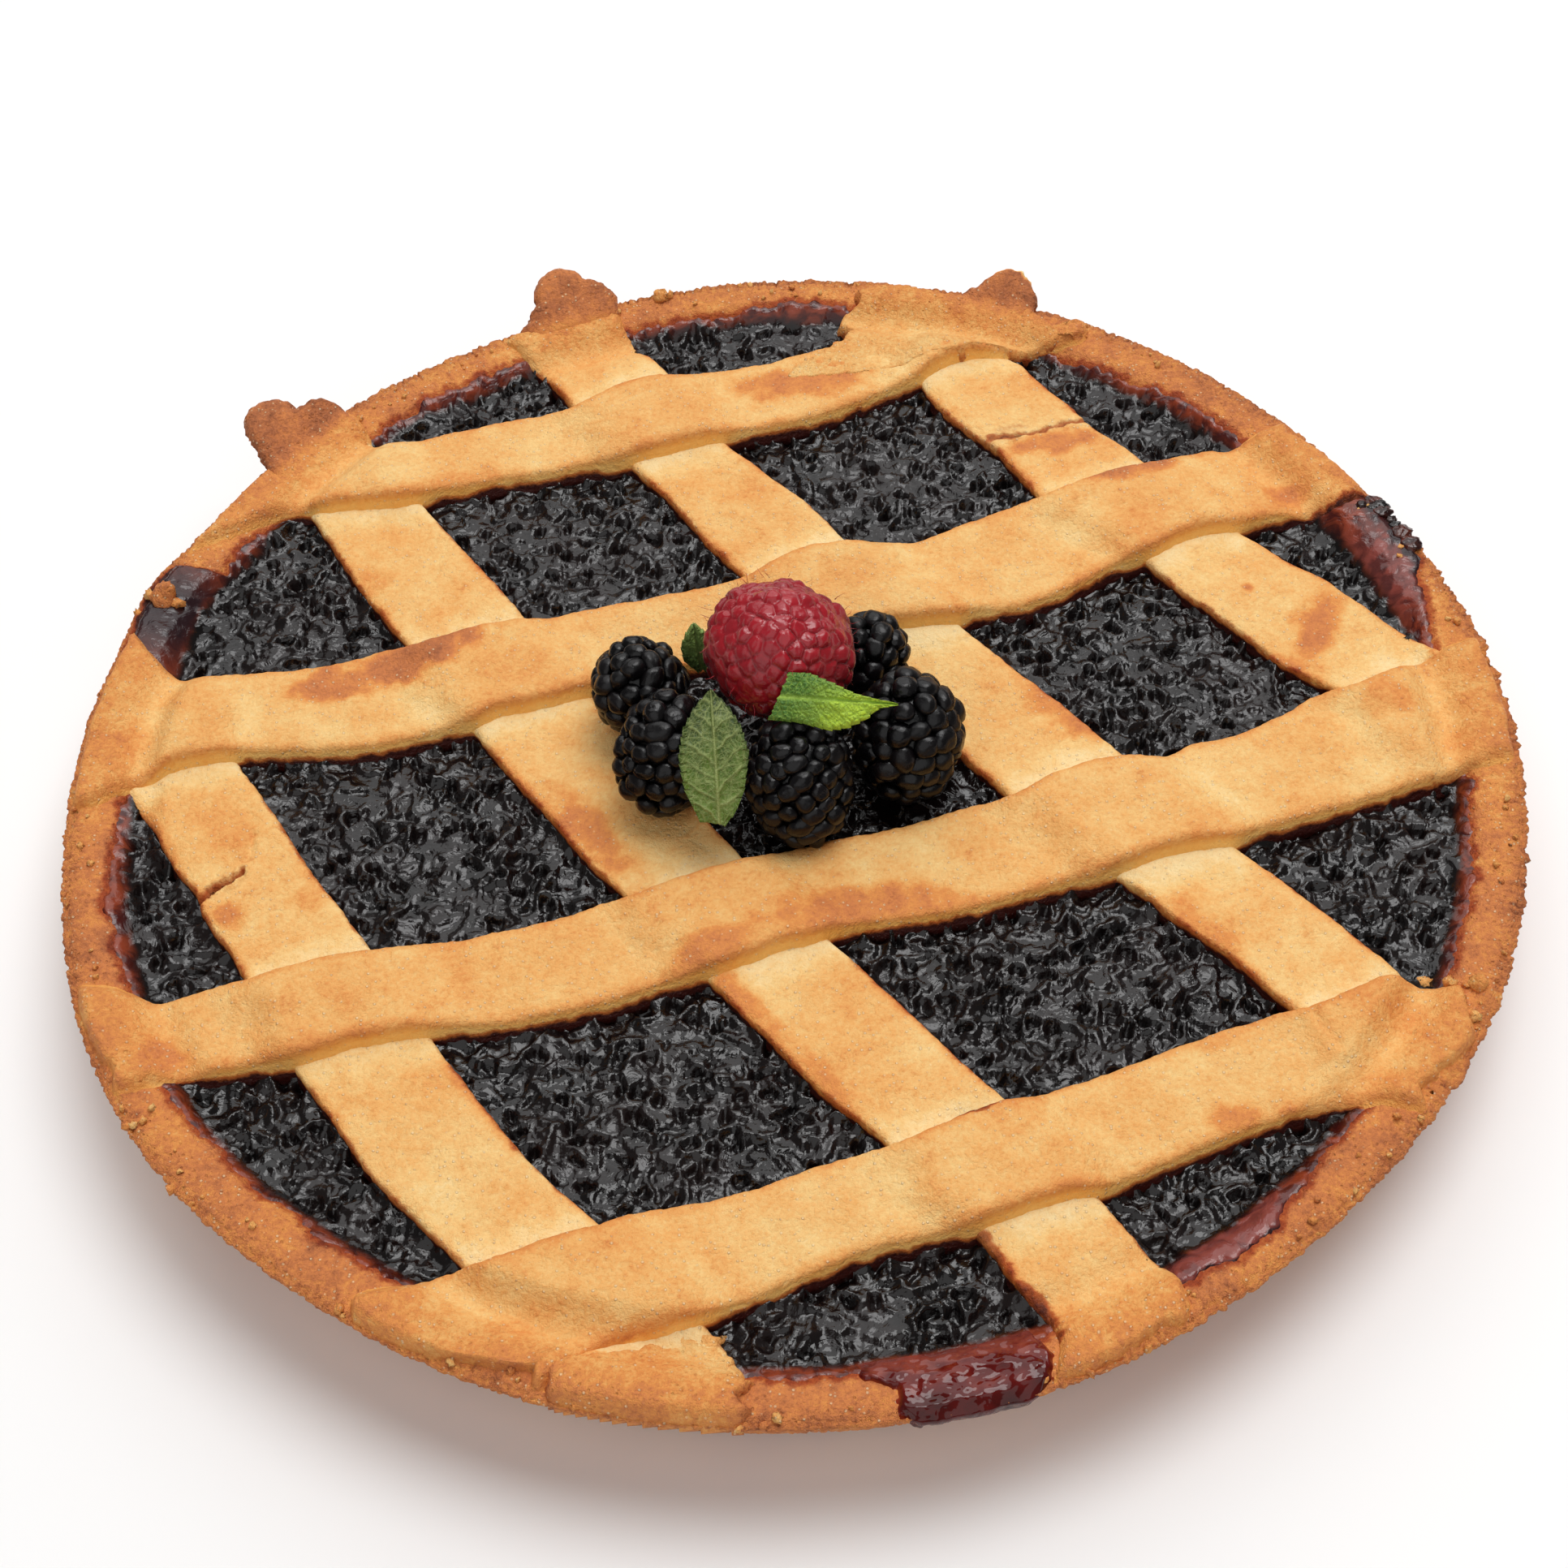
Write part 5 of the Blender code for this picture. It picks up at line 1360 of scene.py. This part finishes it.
def make_crumbs():
    rng = np.random.default_rng(77)
    small, large = ball(6, 8), ball(14, 20)
    places = []
    for _ in range(26):  # broken pastry beside the right end of the third under strip
        places.append((rng.uniform(97, 107), rng.uniform(-63, -50), None, rng.uniform(0.4, 1.5)))
    for _ in range(150):  # along the outer edge
        a = rng.uniform(-math.pi, math.pi)
        inward = rng.uniform(0.2, 4.5) ** 1.1
        r = rim_radius(a) - inward
        places.append((r * math.cos(a), r * math.sin(a), None, rng.uniform(0.25, 0.75)))
    for x, y, size in ((-112.0, 44.2, 2.7), (-114.7, 45.0, 1.3), (-109.6, 43.2, 1.2), (-20.2, 120.4, 1.5), (-19.6, 121.2, 1.3), (-19.9, 122.0, 1.0), (-17.9, 121.0, 0.9), (108.8, -54, 1.2)):
        places.append((x, y, None, size))
    all_points, all_paint, all_quads, all_tris = [], [], [], []
    for x, y, z, size in places:
        shape, quads, tris = large if size > 2 else small
        ground = float(shell_top(np.array([x]), np.array([y]))[0])
        if z is None:
            z = ground + 0.35 * size
        stretch = rng.uniform(0.7, 1.3, 3) * size
        lumpy = 1 + 0.22 * rng.normal(size=(len(shape), 1))
        if size > 2:
            stretch = np.array([1.15, 0.85, 0.72]) * size
            lumpy = 1 + 0.34 * noise(shape[:, :1] * 1.9 + 3, shape[:, 1:2] * 1.9 + shape[:, 2:] * 1.5, 511) + 0.12 * noise(shape[:, :1] * 5, shape[:, 1:2] * 5 + shape[:, 2:] * 4, 512)
        turn = np.linalg.qr(rng.normal(size=(3, 3)))[0]
        start = sum(len(q) for q in all_points)
        all_points.append((shape * lumpy * stretch) @ turn + np.array([x, y, z]))
        all_paint.append(np.tile([rng.uniform(0.30, 0.60), 0.0, 0.0, 0.5], (len(shape), 1)))
        if np.linalg.det(turn) < 0:
            all_quads.append(quads[:, ::-1] + start)
            all_tris.append(tris[:, ::-1] + start)
        else:
            all_quads.append(quads + start)
            all_tris.append(tris + start)
    return mesh("crumbs", np.concatenate(all_points), [np.concatenate(all_quads), np.concatenate(all_tris)], PASTRY, np.concatenate(all_paint))


make_crust()
make_jam()
ENDS_UNDER = {1: ((0.6, 0.5), (None, 0.0)), 2: ((0.7, 0.6), (1.5, 0.4)), 3: ((6.5, 0.8), (1.5, 0.4)), 4: ((7.0, 0.6), (1.5, 0.4))}
ENDS_OVER = {1: ((0.6, 0.4), (3.2, 0.7)), 2: ((0.6, 0.3), (0.3, 0.3)), 3: ((0.9, 0.6), (0.8, 0.3)), 4: ((0.6, 0.4), (1.2, 0.8))}
SPOTS = {
    ("under", 1): [(-93.0, -28.6, 3.6, 3.2, -20, 0.85), (-79, -26, 3, 5, -55, 0.35), (-95, -12, 5, 6, 0, 0.15)],
    ("under", 2): [(-74, 44, 4, 6, -60, 0.45), (-22, -34, 5, 10, 32, 0.35), (-33, -15, 4, 11, 32, 0.9), (-8, -52, 3.2, 12, 32, 0.8), (3, -66, 3, 9, 32, 0.6)],
    ("under", 3): [(50, 8, 7, 12, 35, 1.0), (66, -42, 4, 9, 35, 0.45), (-22, 82, 4, 8, 35, 0.3)],
    ("under", 4): [(54, 71.2, 10, 3.3, 10, 1.0), (96, 22, 4.4, 9.5, -22, 1.05), (88.5, 13, 4, 3, 0, 0.6), (85.2, 31.6, 1.3, 1.3, 0, 1.1)],
    ("over", 1): [(8, 92, 15, 6, 5, 0.95), (-58, 69, 8, 3, 10, 0.4), (38, 101, 9, 3, 20, 0.8)],
    ("over", 2): [(-66.5, 24.2, 18, 5.4, 17, 1.42), (-79, 19.6, 8, 4.4, 12, 1.25), (68, 62, 10, 3.5, 12, 1.1), (96, 55, 5, 3.4, 5, 0.8)],
    ("over", 3): [(12, -34, 20, 4.5, 6, 0.95), (-14, -42, 9, 3.4, 20, 0.9), (106, 3, 6, 5, 0, 0.5), (-101, -56, 5, 4, 0, 1.0)],
    ("over", 4): [(66, -77, 5, 3, 10, 0.6), (65, -63, 5, 3, 15, 0.35), (92, -58, 7, 6, 0, 0.5)],
}
JAMMY = {
    ("under", 4): [(47.5, 75.4, 5.0, 1.5, 6, 0.20), (43.2, 73.4, 1.8, 1.3, 0, 0.5)],
    ("over", 4): [(27, -73.5, 4, 1.2, 12, 0.6)],
    ("over", 2): [(107.5, 50.4, 10.5, 2.3, 13, 0.62)],
    ("under", 2): [(32.6, -106.5, 2.3, 8, 31, 0.56), (26.8, -97, 1.8, 7, 31, 0.5)],
}
for s in STRIPS_UNDER:
    k = ("under", s.number)
    make_strip(s, ENDS_UNDER[s.number], SPOTS.get(k, ()), JAMMY.get(k, ()))
for s in STRIPS_OVER:
    k = ("over", s.number)
    make_strip(s, ENDS_OVER[s.number], SPOTS.get(k, ()), JAMMY.get(k, ()))
make_pads()
make_overflow()
make_burnt_jam()
make_crumbs()
for node, centre, half_width, half_length, lean, grain, seed in BERRIES:
    make_berry(node, DARK_BERRY, centre, half_width, half_length, lean, grain, seed)
make_cushion_berry("red_berry", RED_BERRY, (0.4, 8.3, 41.4), (13.2, 12.3, 11.6), (0.12, -0.30, 0.95), 1.75, 12, 110)
make_leaf("mint_leaf_1", LEAF_UNDER, (-11.1, -20.6, 31.6), (-11.4, -2.6, 44.9), (0.05, -0.60, 0.80),
          [(0, 3.2), (0.1, 4.2), (0.25, 5.4), (0.5, 6.1), (0.7, 5.2), (0.85, 3.3), (0.95, 1.4), (1, 0.1)],
          [(0, 0.9), (0.1, 2.7), (0.25, 4.5), (0.5, 5.6), (0.7, 4.7), (0.85, 3.0), (0.95, 1.2), (1, 0.1)], 1.6, underside=True, teeth=15, slant=-0.25, seed=1)
make_leaf("mint_leaf_2", LEAF_TOP, (-0.2, -5.4, 45.6), (19.3, -7.9, 44.9), (0.05, -0.62, 0.79),
          [(0, 4.1), (0.24, 4.1), (0.43, 2.9), (0.63, 1.3), (0.82, 0.6), (0.95, 0.35), (1, 0.1)],
          [(0, 4.0), (0.2, 4.1), (0.43, 5.1), (0.58, 4.6), (0.74, 2.9), (0.84, 0.9), (0.95, 0.4), (1, 0.1)], 0.9, teeth=13, slant=-0.36, curl=-0.05, droop=0.6, seed=2)
make_leaf("mint_leaf_3", LEAF_BACK, (-13.4, 17.0, 26.6), (-14.2, 17.8, 38.2), (0.1, -0.75, 0.65),
          [(0, 0.8), (0.3, 2.9), (0.6, 2.9), (0.85, 1.6), (1, 0.2)], [(0, 0.8), (0.3, 2.9), (0.6, 2.7), (0.85, 1.4), (1, 0.2)], 0.5, teeth=7, seed=3, fine=0.6)


# ------------------------------------------------------------------ stage

def make_stage():
    data = bpy.data.meshes.new("floor")
    data.from_pydata([(-3, -3, -0.0005), (3, -3, -0.0005), (3, 3, -0.0005), (-3, 3, -0.0005)], [], [(0, 1, 2, 3)])
    floor = bpy.data.objects.new("floor", data)
    bpy.context.scene.collection.objects.link(floor)
    n = Nodes("floor", 0.6, Specular_IOR_Level=0.2)
    n.finish((0.93, 0.925, 0.92))
    data.materials.append(n.material)
    world = bpy.data.worlds.new("studio")
    bpy.context.scene.world = world
    world.use_nodes = True
    world.node_tree.nodes["Background"].inputs["Color"].default_value = (1, 0.99, 0.98, 1)
    world.node_tree.nodes["Background"].inputs["Strength"].default_value = 0.165

    def area(name, place, target, size, power, colour=(1, 1, 1)):
        light = bpy.data.lights.new(name, "AREA")
        light.shape = "DISK"
        light.size = size
        light.energy = power
        light.color = colour
        obj = bpy.data.objects.new(name, light)
        obj.location = place
        obj.rotation_euler = (Vector(target) - Vector(place)).to_track_quat("-Z", "Y").to_euler()
        bpy.context.scene.collection.objects.link(obj)

    area("sheet", (0.1, 1.15, 1.6), (0, 0, 0), 2.7, 27)
    area("key", (0.35, 0.30, 1.5), (0, 0, 0), 1.0, 11)
    area("fill", (-0.3, -1.3, 1.3), (0, 0, 0), 2.5, 12)


def make_camera():
    elevation, roll = math.radians(52.027), math.radians(-3.022)
    back = Vector((0, -math.cos(elevation), math.sin(elevation)))
    right, up = Vector((1, 0, 0)), Vector((0, math.sin(elevation), math.cos(elevation)))
    r = right * math.cos(roll) + up * math.sin(roll)
    u = -right * math.sin(roll) + up * math.cos(roll)
    camera = bpy.data.cameras.new("camera")
    camera.sensor_width = camera.sensor_height = 36
    camera.sensor_fit = "AUTO"
    camera.lens = 3045.8 * 36 / 1932
    camera.clip_start, camera.clip_end = 0.01, 20
    obj = bpy.data.objects.new("camera", camera)
    turn = Matrix((r, u, back)).transposed().to_4x4()
    obj.matrix_world = Matrix.Translation(Vector(EYE * MM)) @ turn
    bpy.context.scene.collection.objects.link(obj)
    bpy.context.scene.camera = obj


make_stage()
make_camera()
bpy.context.scene.view_settings.view_transform = "Standard"
